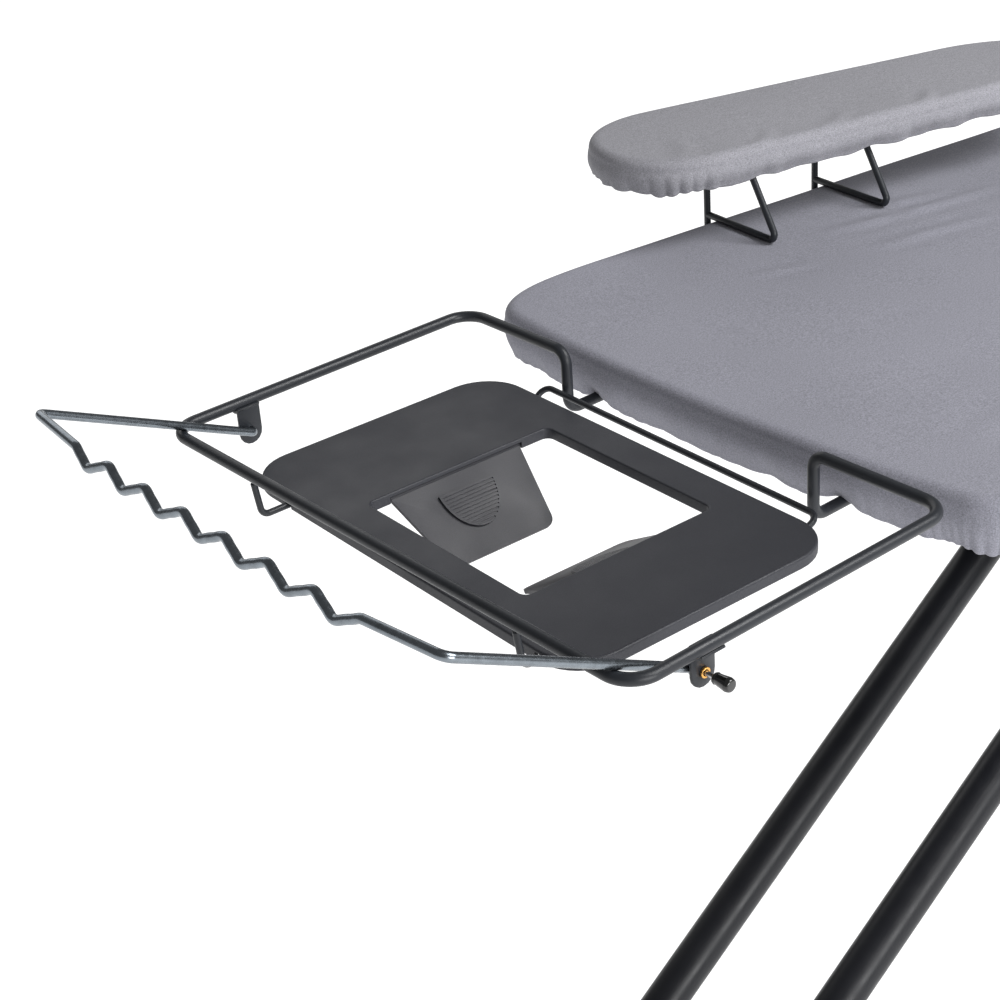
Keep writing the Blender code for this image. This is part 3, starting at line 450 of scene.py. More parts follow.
def closed_profile(points, radius, steps=3):
    """Closed loop of profile points, every corner rounded over."""
    start = ((points[0][0] + points[-1][0]) / 2, (points[0][1] + points[-1][1]) / 2)
    path = rounded_profile([start, *points, start], radius, steps)
    return path[:-1]


def turned(name, start, direction, profile, material, body, nodes=(), sides=64, loop=False):
    bm = bmesh.new()
    turn_into(bm, start, direction, profile, sides, loop)
    return add_piece(name, bm, material, body, nodes)


def rounded_rectangle(low, high, radius, arc=10, edge=20):
    """Rounded rectangle with the same count of points on each side and corner."""
    corners = ((high[0], high[1], 0), (low[0], high[1], 90), (low[0], low[1], 180), (high[0], low[1], 270))
    arcs = []
    for x, y, start in corners:
        centre_x = x - math.copysign(radius, x - (low[0] + high[0]) / 2)
        centre_y = y - math.copysign(radius, y - (low[1] + high[1]) / 2)
        arcs.append([
            (centre_x + radius * math.cos(math.radians(start + 90 * k / arc)),
             centre_y + radius * math.sin(math.radians(start + 90 * k / arc))) for k in range(arc + 1)])
    outline = []
    for index, points in enumerate(arcs):
        outline += points
        after = arcs[(index + 1) % 4][0]
        last = points[-1]
        outline += [
            (last[0] + (after[0] - last[0]) * k / edge, last[1] + (after[1] - last[1]) * k / edge)
            for k in range(1, edge)]
    return outline


def box_into(bm, low, high, matrix=None):
    size = [b - a for a, b in zip(low, high)]
    centre = [(a + b) / 2 for a, b in zip(low, high)]
    place = Matrix.Translation(centre) @ Matrix.Diagonal((*size, 1))
    bmesh.ops.create_cube(bm, size=1, matrix=(matrix @ place) if matrix is not None else place)


def prism_into(bm, outline, low, high, matrix=None):
    """Flat outline raised from low to high."""
    count = len(outline)
    bottom = [bm.verts.new((x, y, low)) for x, y in outline]
    top = [bm.verts.new((x, y, high)) for x, y in outline]
    bm.faces.new(list(reversed(bottom)))
    bm.faces.new(top)
    for index in range(count):
        after = (index + 1) % count
        bm.faces.new((bottom[index], bottom[after], top[after], top[index]))
    if matrix is not None:
        bmesh.ops.transform(bm, matrix=matrix, verts=bottom + top)


def cutter(name, bm):
    """Helper solid for a Boolean, removed once it has been used."""
    bmesh.ops.translate(bm, verts=bm.verts, vec=ORIGIN)
    bmesh.ops.recalc_face_normals(bm, faces=bm.faces)
    mesh = bpy.data.meshes.new(name)
    bm.to_mesh(mesh)
    bm.free()
    item = bpy.data.objects.new(name, mesh)
    bpy.context.scene.collection.objects.link(item)
    return item


def boolean(piece, operation, other):
    """Apply a Boolean at once and remove the helper solid."""
    modifier = piece.modifiers.new("Boolean", "BOOLEAN")
    modifier.operation = operation
    modifier.object = other
    modifier.solver = "EXACT"
    apply_modifiers(piece)
    bpy.data.objects.remove(other, do_unlink=True)


def apply_modifiers(piece):
    bpy.context.view_layer.update()
    evaluated = piece.evaluated_get(bpy.context.evaluated_depsgraph_get())
    mesh = bpy.data.meshes.new_from_object(evaluated)
    old = piece.data
    mesh.name = old.name + "_done"
    piece.modifiers.clear()
    piece.data = mesh
    bpy.data.meshes.remove(old)


def soften(piece, width, segments=2, angle=35):
    modifier = piece.modifiers.new("Edges", "BEVEL")
    modifier.width = width
    modifier.segments = segments
    modifier.limit_method = "ANGLE"
    modifier.angle_limit = math.radians(angle)
    modifier.harden_normals = False


def resurface(piece, material, angle):
    """Give a piece one material again after its Booleans, smooth except at sharp edges."""
    piece.data.materials.clear()
    piece.data.materials.append(material)
    piece.data.shade_smooth()
    piece.data.set_sharp_from_angle(angle=math.radians(angle))


def keep_node(node, material, width=0.0003, angle=38):
    """A CAD node that stays: its own mesh, softened edges and a better material."""
    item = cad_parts[node]
    item.data.materials.clear()
    item.data.materials.append(material)
    for polygon in item.data.polygons:
        polygon.material_index = 0
    weld = item.modifiers.new("Weld", "WELD")
    weld.merge_threshold = 0.00001
    soften(item, width, 2, angle)
    item.data.shade_smooth()
    item.data.set_sharp_from_angle(angle=math.radians(angle))


# ---------------------------------------------------------------- covers
def half_curve(curves, spacing):
    """Dense points of Bezier stretches on the +Y half, evenly spaced."""
    points = []
    for start, first, second, end in curves:
        stretch = interpolate_bezier(Vector(start), Vector(first), Vector(second), Vector(end), 200)
        points += [(p.x, p.y) for p in stretch[:-1]]
    points.append(curves[-1][3])
    points = np.array(points)
    steps = np.concatenate([[0], np.cumsum(np.linalg.norm(np.diff(points, axis=0), axis=1))])
    count = int(steps[-1] / spacing)
    places = np.linspace(0, steps[-1], count + 1)
    return np.stack([np.interp(places, steps, points[:, k]) for k in (0, 1)], axis=1)


def straight(start, end):
    a, b = Vector(start), Vector(end)
    return (start, tuple(a.lerp(b, 1 / 3)), tuple(a.lerp(b, 2 / 3)), end)


def board_curves():
    length = BOARD_LENGTH
    side_start, side_end = (0.120, 0.2213), (length - 0.340, 0.2213 + EDGE_SLOPE * (length - 0.460))
    run = 0.150
    return [
        ((0, 0), (0, 0.080), (0.006, 0.150), (0.012, 0.190)),
        ((0.012, 0.190), (0.018, 0.214), (0.040, 0.2235), (0.073, 0.2240)),
        ((0.073, 0.2240), (0.090, 0.2240), (0.105, 0.2230), side_start), straight(side_start, side_end),
        (side_end, (side_end[0] + run, side_end[1] + EDGE_SLOPE * run), (length, 0.085), (length, 0))]


def sleeve_curves():
    length = SLEEVE_LENGTH
    return [
        ((0, 0), (0, 0.036), (0.028, 0.0605), (0.066, 0.0605)),
        ((0.066, 0.0605), (0.150, 0.0592), (0.250, 0.0547), (length - 0.080, 0.0522)),
        ((length - 0.080, 0.0522), (length - 0.040, 0.0508), (length, 0.032), (length, 0))]


def whole_outline(half):
    """Closed outline from the +Y half, whose ends lie on the X axis."""
    lower = half[1:-1][::-1] * np.array([1, -1])
    return np.concatenate([half, lower])


def outward_normals(outline):
    along = np.roll(outline, -1, axis=0) - np.roll(outline, 1, axis=0)
    along /= np.linalg.norm(along, axis=1)[:, None]
    return np.stack([-along[:, 1], along[:, 0]], axis=1)


def smooth_wave(places, period, seed):
    """Gentle uneven wave along the edge, between -1 and 1."""
    total = np.zeros_like(places)
    for k, share in enumerate((1.0, 0.6, 0.45)):
        rate = 2 * math.pi / (period * (1.0, 0.63, 1.57)[k])
        total += share * np.sin(places * rate + seed * (k + 1) * 1.7)
    return total / 2.05


def pleats(places, period, seed):
    """Soft ridges with narrow valleys, unevenly spaced, from 0 to 1."""
    turns = places / period
    warp = turns + 0.35 * np.sin(turns * 0.9 + seed) + 0.25 * np.sin(turns * 0.37 + 2 * seed)
    return np.abs(np.sin(math.pi * warp)) ** 0.8


def distance_to(points, line):
    """Distance from each point to a polyline, and how far along it the nearest place is."""
    best = np.full(len(points), 1e9)
    share = np.zeros(len(points))
    for index, (a, b) in enumerate(zip(line, line[1:])):
        a, b = np.array(a), np.array(b)
        span = b - a
        t = np.clip(((points - a) @ span) / (span @ span), 0, 1)
        gap = np.linalg.norm(points - (a + t[:, None] * span), axis=1)
        closer = gap < best
        best[closer] = gap[closer]
        share[closer] = (index + t[closer]) / (len(line) - 1)
    return best, share


def crease(points, line, height, width):
    """A soft ridge with a shallow valley beside it, fading out at both ends."""
    gap, share = distance_to(points, line)
    fade = np.sin(math.pi * np.clip(share, 0, 1)) ** 0.6
    return height * fade * (np.exp(-(gap / width) ** 2) - 0.55 * np.exp(-((gap - 2.1 * width) / width) ** 2))


def cover_rows(half, spine, top, hem, roll, rings, skirt_rows, shape, lip, roundness):
    """Rings of points for a fitted cover: top from its spine outwards, rolled edge, skirt and hem.

    shape(places, share, outline) gives the outward shift and the drop of a skirt row.
    """
    outline = whole_outline(half)
    normals = outward_normals(outline)
    steps = np.linalg.norm(np.roll(outline, -1, axis=0) - outline, axis=1)
    places = np.concatenate([[0], np.cumsum(steps)[:-1]])
    inside = outline - normals * roll
    centre = np.stack([np.clip(inside[:, 0], *spine), np.zeros(len(outline))], axis=1)
    rows = []
    for index in range(rings + 1):
        share = 1 - (1 - index / rings) ** 1.25
        flat = centre + (inside - centre) * share
        rows.append(np.column_stack([flat, np.full(len(flat), top)]))
    skirt_top = top - roll
    out_0 = shape(places, 0.0, outline)[0]
    for index in range(1, roundness + 1):
        angle = math.pi / 2 * index / roundness
        flat = inside + normals * (roll * math.sin(angle) + out_0 * (index / roundness) ** 2)[:, None]
        rows.append(np.column_stack([flat, np.full(len(flat), top - roll * (1 - math.cos(angle)))]))
    for index in range(1, skirt_rows + 1):
        share = index / skirt_rows
        out, drop = shape(places, share, outline)
        flat = outline + normals * out[:, None]
        rows.append(np.column_stack([flat, skirt_top + (hem - skirt_top) * share - drop]))
    out, drop = shape(places, 1.0, outline)
    turn = 0.0022
    for index in range(1, 7):
        angle = math.pi * 0.86 * index / 6
        flat = outline + normals * (out - turn * (1 - math.cos(angle)))[:, None]
        rows.append(np.column_stack([flat, hem - drop - turn * math.sin(angle)]))
    last = rows[-1]
    for index in range(1, 5):
        share = index / 4
        flat = last[:, :2] - normals * (lip * share)
        rows.append(np.column_stack([flat, last[:, 2] + 0.0012 * share]))
    return outline, rows


def cover_mesh(rows):
    bm = bmesh.new()
    rings = [[bm.verts.new(point) for point in row] for row in rows]
    loft(bm, rings)
    bmesh.ops.remove_doubles(bm, verts=bm.verts, dist=0.000002)
    return bm


def skin(piece, thickness):
    modifier = piece.modifiers.new("Cloth", "SOLIDIFY")
    modifier.thickness = thickness
    modifier.offset = -1
    modifier.use_even_offset = False
    apply_modifiers(piece)


def gaussian(value, centre, width):
    return np.exp(-((value - centre) / width) ** 2)


def main_cover():
    spacing = 0.0014
    half = half_curve(board_curves(), spacing)
    length = 2 * len(half) * spacing

    def shape(places, share, outline):
        x, y = outline[:, 0], outline[:, 1]
        around = np.minimum(places, length - places)
        corner = gaussian(around, 0.225, 0.055) * np.where(y < 0, 1.25, 1.0)
        nose = gaussian(x, BOARD_LENGTH, 0.16)
        tail = gaussian(x, 0.0, 0.03) * (1 - corner)
        low_end = np.clip(gaussian(x, 0.0, 0.045) + 0.5 * corner, 0, 1)
        pucker = np.where(y < 0, pleats(places, 0.0068, 0.7), pleats(places, 0.0115, 0.7))
        fold = pucker * corner * 0.0016
        fold += pleats(places, 0.016, 1.9) * (nose * 0.0016 + tail * 0.0006 + 0.0004)
        slow = smooth_wave(places, 0.072, 0.4) * 0.0013 + smooth_wave(places, 0.031, 2.1) * 0.0006
        belly = 0.0011 * math.sin(math.pi * min(share * 1.1, 1))
        posts = ((0.2233, 0.2138), (0.3273, 0.2032))
        stand = sum(gaussian(np.hypot(x - px, y - py), 0, 0.012) for px, py in posts)
        riser = sum(gaussian(np.hypot(x, y - s * RISER_Y), 0, 0.0085) for s in (1, -1))
        out = share ** 1.4 * (fold + slow) * (1 - 0.8 * riser) + belly - 0.0004
        out -= stand * (0.0006 + 0.0028 * share) + 0.0048 * low_end * share ** 2.6
        drop = 0.0022 + 0.0016 * smooth_wave(places, 0.066, 1.1) + 0.0007 * pucker * corner + 0.0032 * low_end
        drop = share ** 2 * drop * (1 - 1.05 * np.clip(riser, 0, 1))
        return out, drop

    outline, rows = cover_rows(half, (0.225, 1.10), BOARD_TOP, 0.7226, 0.0085, 46, 12, shape, 0.0060, 8)
    creases = [
        ([(0.255, 0.131), (0.293, 0.118), (0.341, 0.107), (0.408, 0.093)], 0.0013, 0.0050),
        ([(0.252, 0.085), (0.301, 0.075), (0.363, 0.059)], 0.0010, 0.0050),
        ([(0.160, 0.115), (0.183, 0.106), (0.210, 0.096)], 0.0007, 0.0045),
        ([(0.293, 0.144), (0.335, 0.128), (0.378, 0.112)], 0.0009, 0.0050),
        ([(0.420, 0.080), (0.520, 0.060), (0.610, 0.052)], 0.0006, 0.0070),
        ([(0.060, -0.150), (0.120, -0.140), (0.190, -0.146)], 0.0004, 0.0080)]
    stands = [
        [np.array(stand_point(k, 0.004)), np.array(stand_point(k, -STAND_REACH[k] - 0.004))] for k in (0, 1)]
    for row in rows[:55]:
        flat = row[:, :2]
        swell = 0.00035 * np.sin(flat[:, 0] * 31 + 1.1 * np.sin(flat[:, 1] * 23))
        swell = swell * np.sin(flat[:, 1] * 27 + 0.6)
        rise = swell + sum(crease(flat, line, height, width) for line, height, width in creases)
        clear = np.ones(len(flat))
        for line in stands:
            gap, _ = distance_to(flat, line)
            clear *= np.clip((gap - 0.004) / 0.014, 0, 1)
        row[:, 2] += np.where(rise > 0, rise * clear, rise * np.clip(clear + 0.25, 0, 1)) - 0.0001
    piece = add_piece(
        "board_cover_cloth", cover_mesh(rows), COVER, "board", ("board_cover",), None)
    skin(piece, 0.0009)
    return piece


def stand_point(number, reach):
    """Plan position on a stand: reach is outwards from the hinge line."""
    along = Vector((1, EDGE_SLOPE, 0)).normalized()
    outward = Vector((-along.y, along.x, 0))
    point = STAND_START + along * (STAND_SPACING * number) + outward * reach
    return point.x, point.y


def sleeve_matrix():
    return Matrix.Translation((*SLEEVE_START, 0)) @ Matrix.Rotation(SLEEVE_TURN, 4, "Z")


def sleeve_cloth():
    spacing = 0.0011
    half = half_curve(sleeve_curves(), spacing)
    length = 2 * len(half) * spacing

    def shape(places, share, outline):
        x, y = outline[:, 0], outline[:, 1]
        around = np.minimum(places, length - places)
        wide = gaussian(around, 0.050, 0.060)
        nose = gaussian(x, SLEEVE_LENGTH, 0.05)
        near = np.where(y < 0, 1.0, 0.7)
        fold = pleats(places, 0.0125, 0.3) * (0.0022 * wide + 0.0014 * nose) * near
        fold += pleats(places, 0.021, 2.3) * 0.0007
        slow = smooth_wave(places, 0.058, 0.9) * 0.0013 + smooth_wave(places, 0.026, 3.1) * 0.0006
        belly = 0.0010 * math.sin(math.pi * min(share * 1.1, 1))
        out = share ** 1.3 * (fold + slow) + belly - 0.0006 - 0.0028 * share ** 3
        drop = 0.0020 + 0.0017 * smooth_wave(places, 0.050, 2.2) + 0.0010 * pleats(places, 0.0125, 0.3) * wide
        drop = share ** 2 * drop
        return out, drop

    outline, rows = cover_rows(half, (0.062, 0.350), SLEEVE_TOP, 0.7985, 0.0078, 26, 12, shape, 0.0030, 8)
    creases = [
        ([(0.090, -0.058), (0.110, -0.047), (0.120, -0.030)], 0.0005, 0.0045),
        ([(0.235, -0.055), (0.250, -0.043), (0.262, -0.030)], 0.0007, 0.0045),
        ([(0.150, -0.054), (0.172, -0.044), (0.186, -0.032)], 0.0005, 0.0045),
        ([(0.040, -0.050), (0.052, -0.030), (0.056, -0.010)], 0.0005, 0.0060)]
    for row in rows[:31]:
        flat = row[:, :2]
        swell = 0.0003 * np.sin(flat[:, 0] * 47 + 0.9) * np.sin(flat[:, 1] * 52 + 0.6)
        row[:, 2] += swell + sum(crease(flat, line, height, width) for line, height, width in creases)
    bm = cover_mesh(rows)
    bmesh.ops.transform(bm, matrix=sleeve_matrix(), verts=bm.verts)
    piece = add_piece(
        "sleeve_cover_cloth", bm, SLEEVE_COVER, "sleeve_board", ("sleeve_cover",), None)
    skin(piece, 0.0008)
    return piece


def felt_pad(name, curves, spine, top, inset, body, node, matrix=None):
    """Needled felt under a cover, with soft rounded edges."""
    half = half_curve(curves, 0.004)
    outline = whole_outline(half)
    normals = outward_normals(outline)
    bottom = top - FELT_THICK
    centre = np.stack([np.clip(outline[:, 0], *spine), np.zeros(len(outline))], axis=1)
    bm = bmesh.new()
    edge = FELT_THICK / 2
    rows = []

    def row(share, out, z):
        flat_row = centre + (outline - normals * (inset + edge) - centre) * share + normals * out
        rows.append([bm.verts.new((*point, z)) for point in flat_row])

    for share in (0.0, 0.25, 0.5, 0.75, 0.9, 0.97):
        row(share, 0.0, top)
    for index in range(9):
        angle = math.pi * index / 8
        row(1.0, edge * math.sin(angle), bottom + edge + edge * math.cos(angle))
    for share in (0.97, 0.9, 0.75, 0.5, 0.25, 0.0):
        row(share, 0.0, bottom)
    loft(bm, rows)
    bmesh.ops.remove_doubles(bm, verts=bm.verts, dist=0.000002)
    if matrix is not None:
        bmesh.ops.transform(bm, matrix=matrix, verts=bm.verts)
    piece = add_piece(name, bm, FELT, body, (node,), 60)
    return piece


def deck_pan(name, curves, spine, top, rim, inset, body, node, matrix=None):
    """Pressed sheet pan under a felt: flat top, rounded edge and a turned-down rim."""
    outline = whole_outline(half_curve(curves, 0.004))
    normals = outward_normals(outline)
    radius = 0.0030
    centre = np.stack([np.clip(outline[:, 0], *spine), np.zeros(len(outline))], axis=1)
    inside = outline - normals * (inset + radius)
    bm = bmesh.new()
    rows = []

    def row(share, out, z):
        flat_row = centre + (inside - centre) * share + normals * out
        rows.append([bm.verts.new((*point, z)) for point in flat_row])

    shares = (0.0, 0.3, 0.6, 0.85, 0.97)
    for share in shares:
        row(share, 0.0, top)
    for index in range(7):
        angle = math.pi / 12 * index
        row(1.0, radius * math.sin(angle), top - radius * (1 - math.cos(angle)))
    row(1.0, radius, rim + 0.0002)
    row(1.0, radius - SHEET / 2, rim)
    inner = radius - SHEET
    row(1.0, inner, rim + 0.0002)
    for index in reversed(range(7)):
        angle = math.pi / 12 * index
        row(1.0, inner * math.sin(angle), top - SHEET - inner * (1 - math.cos(angle)))
    for share in reversed(shares):
        row(share, 0.0, top - SHEET)
    loft(bm, rows)
    bmesh.ops.remove_doubles(bm, verts=bm.verts, dist=0.000002)
    if matrix is not None:
        bmesh.ops.transform(bm, matrix=matrix, verts=bm.verts)
    return add_piece(name, bm, FRAME_BLACK, body, (node,), 40)


# ---------------------------------------------------------------- iron rest, tray and flaps
def rest_loop():
    corners = [
        (REST_BAR_END_X, RISER_Y, REST_LOW_Z), (REST_REAR_X, RISER_Y, REST_LOW_Z),
        (REST_REAR_X, RISER_Y, REST_Z), (REST_REAR_X, REST_HALF, REST_Z), (REST_FRONT_X, REST_HALF, REST_Z)]
    radii = [0.009, 0.009, 0.017, 0.017]
    corners += [(x, -y, z) for x, y, z in reversed(corners)]
    radii += list(reversed(radii))
    path = bent(corners, radii)
    wire("rest_frame_wire", path, REST_WIRE, FRAME_BLACK, "board", ("rest_frame",), 32)


def tray_hanger():
    radius = 0.0020
    runner_y = 0.119
    sides = []
    for sign, runner_x, rail_x, rail_z in ((1, -0.0312, -0.0213, -0.0262), (-1, -0.0392, -0.0272, -0.0292)):
        sides.append([
            (REST_FRONT_X + 0.0015, sign * TRAY_HOOK_Y, REST_Z - REST_WIRE - radius - GAP),
            (REST_FRONT_X + 0.0045, sign * TRAY_HOOK_Y, REST_Z - 0.0285),
            (runner_x, sign * runner_y, TRAY_BOTTOM - radius - 3 * GAP),
            (rail_x, sign * runner_y, REST_Z + rail_z)])
    corners = sides[0] + list(reversed(sides[1]))
    radii = [0.006, 0.006, 0.007]
    radii += list(reversed(radii))
    path = bent(corners, radii)
    wire("tray_hanger_wire", path, radius, FRAME_BLACK, "board", ("tray_wire",), 24)


def tray_turn():
    middle = Matrix.Translation((-0.134, 0, 0))
    return middle @ Matrix.Rotation(TRAY_TURN, 4, "Z") @ middle.inverted()


def tray():
    """Moulded tray: a flat top with rolled edges, side walls and a collar round its window."""
    wall = TRAY_WALL
    edge = 0.0014
    bm = bmesh.new()

    def outer(inset, z):
        low, high = (TRAY_X[0] + inset, TRAY_Y[0] + inset), (TRAY_X[1] - inset, TRAY_Y[1] - inset)
        return [bm.verts.new((x, y, z)) for x, y in rounded_rectangle(low, high, TRAY_CORNER - inset)]

    def window(outset, z):
        low = (WINDOW_X[0] - outset, -WINDOW_HALF - outset)
        high = (WINDOW_X[1] + outset, WINDOW_HALF + outset)
        return [bm.verts.new((x, y, z)) for x, y in rounded_rectangle(low, high, WINDOW_CORNER + outset)]

    rings = [outer(0.0003, TRAY_BOTTOM), outer(0, TRAY_BOTTOM + 0.0004), outer(0, TRAY_TOP - edge - 0.0003)]
    for index in range(6):
        angle = math.pi / 2 * index / 5
        rings.append(outer(edge * (1 - math.cos(angle)), TRAY_TOP - edge + edge * math.sin(angle)))
    rings.append(outer(edge + 0.0008, TRAY_TOP))
    rings.append(window(0.0016, TRAY_TOP))
    for index in range(6):
        angle = math.pi / 2 * index / 5
        rings.append(window(0.0011 * (1 - math.sin(angle)), TRAY_TOP - 0.0011 * (1 - math.cos(angle))))
    rings.append(window(0, TRAY_BOTTOM + 0.0004))
    rings.append(window(0.0003, TRAY_BOTTOM))
    rings.append(window(wall - 0.0003, TRAY_BOTTOM))
    rings.append(window(wall, TRAY_BOTTOM + 0.0004))
    rings.append(window(wall, TRAY_TOP - wall))
    rings.append(outer(wall, TRAY_TOP - wall))
    rings.append(outer(wall, TRAY_BOTTOM + 0.0004))
    rings.append(outer(wall - 0.0003, TRAY_BOTTOM))
    loft(bm, rings, loop=True)
    bmesh.ops.transform(bm, matrix=tray_turn(), verts=bm.verts)
    piece = add_piece("iron_tray_moulding", bm, TRAY_GREY, "board", ("iron_tray",), 28)
    under_top = TRAY_TOP - wall
    for sign in (1, -1):
        notch = bmesh.new()
        box_into(
            notch, (TRAY_X[0] - 0.02, sign * TRAY_HOOK_Y - 0.003, TRAY_BOTTOM - 0.01),
            (TRAY_X[0] + 0.015, sign * TRAY_HOOK_Y + 0.003, REST_Z - 0.0258))
        boolean(piece, "DIFFERENCE", cutter("notch", notch))
        y, z = sign * FLAP_HINGE[0], FLAP_HINGE[1]
        passing = bmesh.new()
        edges = sorted((sign * (WINDOW_HALF - 0.001), sign * (FLAP_HINGE[0] + 0.004)))
        box_into(passing, (FLAP_WIDE[0] - 0.001, edges[0], TRAY_BOTTOM - 0.01),
                 (FLAP_WIDE[1] + 0.001, edges[1], under_top), tray_turn())
        boolean(piece, "DIFFERENCE", cutter("passing", passing))
        for low in (FLAP_WIDE[0] - 0.0072, FLAP_WIDE[1] + 0.0012):
            ear = bmesh.new()
            edges = sorted((sign * (WINDOW_HALF + 0.0004), sign * (FLAP_HINGE[0] + 0.0035)))
            box_into(
                ear, (low, edges[0], TRAY_BOTTOM + 0.0002), (low + 0.006, edges[1], TRAY_TOP - 0.0010),
                tray_turn())
            boolean(piece, "UNION", cutter("ear", ear))
            hole = bmesh.new()
            radius = FLAP_PIN + GAP
            turn_into(hole, (low - 0.002, y, z), (1, 0, 0), cylinder(radius, 0.010), 24)
            bmesh.ops.transform(hole, matrix=tray_turn(), verts=hole.verts)
            boolean(piece, "DIFFERENCE", cutter("hole", hole))
    resurface(piece, TRAY_GREY, 28)


def flap(sign):
    """Hinged flap: a plate with a raised, ribbed half-round grip, on a barrel with two pins."""
    side = "far" if sign > 0 else "near"
    narrow = (FLAP_WIDE[0] + FLAP_NARROWING[0], FLAP_WIDE[1] - FLAP_NARROWING[1])
    corner = 0.007
    outline = [(FLAP_WIDE[0], 0.0010), (FLAP_WIDE[1], 0.0010)]
    for centre, start in ((narrow[1] - corner, 0), (narrow[0] + corner, 90)):
        for index in range(13):
            angle = math.radians(start + 7.5 * index)
            outline.append((centre + corner * math.cos(angle), FLAP_LENGTH - corner + corner * math.sin(angle)))
    y, z = sign * FLAP_HINGE[0], FLAP_HINGE[1]
    down = Matrix.Rotation(-FLAP_TILT[sign], 4, "X")
    matrix = tray_turn() @ Matrix.Translation((0, y, z)) @ (Matrix.Diagonal((1, -sign, 1, 1)) @ down)
    bm = bmesh.new()
    prism_into(bm, outline, -FLAP_THICK / 2, FLAP_THICK / 2, matrix)
    body = f"flap_{side}"
    piece = add_piece(
        f"tray_flap_{side}_moulding", bm, FLAP_GREY, body, (f"tray_flap_{side}",), 35)
    middle, chord, first, deep = FLAP_BOSS
    top = FLAP_THICK / 2 + FLAP_BOSS_RISE
    grip = []
    for index in range(49):
        angle = math.pi * index / 48
        grip.append((middle + chord * math.cos(angle), first + deep * math.sin(angle)))
    boss = bmesh.new()
    prism_into(boss, grip, 0, top, matrix)
    boolean(piece, "UNION", cutter("boss", boss))
    for index in range(11):
        place = first + 0.0022 + 0.0022 * index
        share = (place - first) / deep
        if share > 0.93:
            continue
        reach = chord * math.sqrt(max(0.0, 1 - share ** 2)) - 0.0016
        groove = bmesh.new()
        box_into(
            groove, (middle - reach, place - 0.0005, top - 0.0006),
            (middle + reach, place + 0.0005, top + 0.002), matrix)
        boolean(piece, "DIFFERENCE", cutter("groove", groove))
    barrel = bmesh.new()
    span = FLAP_WIDE[1] - FLAP_WIDE[0]
    turn_into(barrel, (FLAP_WIDE[0], y, z), (1, 0, 0), rounded_profile(
        [(-FLAP_PIN_REACH, 0), (-FLAP_PIN_REACH, FLAP_PIN), (0, FLAP_PIN), (0, FLAP_BARREL),
         (span, FLAP_BARREL), (span, FLAP_PIN), (span + FLAP_PIN_REACH, FLAP_PIN), (span + FLAP_PIN_REACH, 0)], 0.0002), 32)
    bmesh.ops.transform(barrel, matrix=tray_turn(), verts=barrel.verts)
    boolean(piece, "UNION", cutter("barrel", barrel))
    soften(piece, 0.00025, 2, 40)
    apply_modifiers(piece)
    resurface(piece, FLAP_GREY, 35)


# ---------------------------------------------------------------- hanger rail
def rail_point(distance, y, lift=0.0):
    """Point on the rail: distance out from its pivot, and lift square to its plane."""
    x = RAIL_PIVOT[0] - distance * math.cos(RAIL_TILT) + lift * math.sin(RAIL_TILT)
    z = RAIL_PIVOT[1] + distance * math.sin(RAIL_TILT) + lift * math.cos(RAIL_TILT)
    return (x, y, z)


def hanger_rail():
    half_waves = RAIL_PERIOD * RAIL_WAVES / 2
    corner_out, corner_y = RAIL_CORNER
    path = bent(
        [rail_point(0, 0.2060), rail_point(0, RAIL_ARM_Y), rail_point(corner_out, corner_y),
         rail_point(RAIL_WAVE_OUT, half_waves, -RAIL_SINK)], [0.004, 0.006], 12)[:-1]
    steps = 32 * RAIL_WAVES
    for index in range(steps + 1):
        y = half_waves - 2 * half_waves * index / steps
        phase = 2 * math.pi * y / RAIL_PERIOD
        wave = (math.cos(phase) + 0.10 * math.cos(3 * phase)) / 1.10
        lift = -RAIL_SINK - RAIL_DEPTH * (1 + wave) / 2
        path.append(Vector(rail_point(RAIL_WAVE_OUT + 0.002 * (1 - (y / half_waves) ** 2), y, lift)))
    path += bent(
        [rail_point(RAIL_WAVE_OUT, -half_waves, -RAIL_SINK), rail_point(corner_out, -corner_y),
         rail_point(0.0045, -EYE_Y + 0.0003)], [0.006], 12)[1:]
    bm = bmesh.new()
    tube_into(bm, path, RAIL_WIRE, 28)
    piece = add_piece("hanger_rail_wire", bm, ZINC, "hanger_rail", ("hanger_rail",), 50)
    eye = bmesh.new()
    turn_into(eye, (RAIL_PIVOT[0], -EYE_Y - 0.0020, RAIL_PIVOT[1]), AXIS_Y, closed_profile(
        [(0, 0.0018), (0, 0.0048), (0.0040, 0.0048), (0.0040, 0.0018)], 0.0005), 48, loop=True)
    boolean(piece, "UNION", cutter("eye", eye))
    hole = bmesh.new()
    turn_into(hole, (RAIL_PIVOT[0], -0.205, RAIL_PIVOT[1]), AXIS_Y, cylinder(0.0018, 0.025), 32)
    boolean(piece, "DIFFERENCE", cutter("hole", hole))
    resurface(piece, ZINC, 45)


def release_pin():
    x, z = RAIL_PIVOT
    away = (0, -1, 0)
    turned("hanger_bush_turned", (x, -0.1953, z), away, closed_profile(
        [(0, 0.0018), (0, 0.0030), (0.0015, 0.0030), (0.0015, 0.0018)], 0.0003), BRASS, "board",
        ("hanger_bush",), 48, True)
    turned("hanger_pin_turned", (x, -0.1875, z), away, rounded_profile(
        [(0, 0), (0, 0.0014), (0.0149, 0.0014), (0.0149, 0)], 0.0004), STEEL, "release_pin",
        ("hanger_pin",), 32)
    knob = rounded_profile(
        [(0, 0), (0, 0.0029), (0.0012, 0.0034), (0.0020, 0.0031), (0.0088, 0.0040), (0.0113, 0.0034),
         (0.0113, 0)],
        [0.0006, 0.0006, 0.0006, 0.0016, 0.0012], 8)
    turned("hanger_knob_turned", (x, -0.2027, z), away, knob, KNOB, "release_pin",
           ("hanger_knob",), 64)


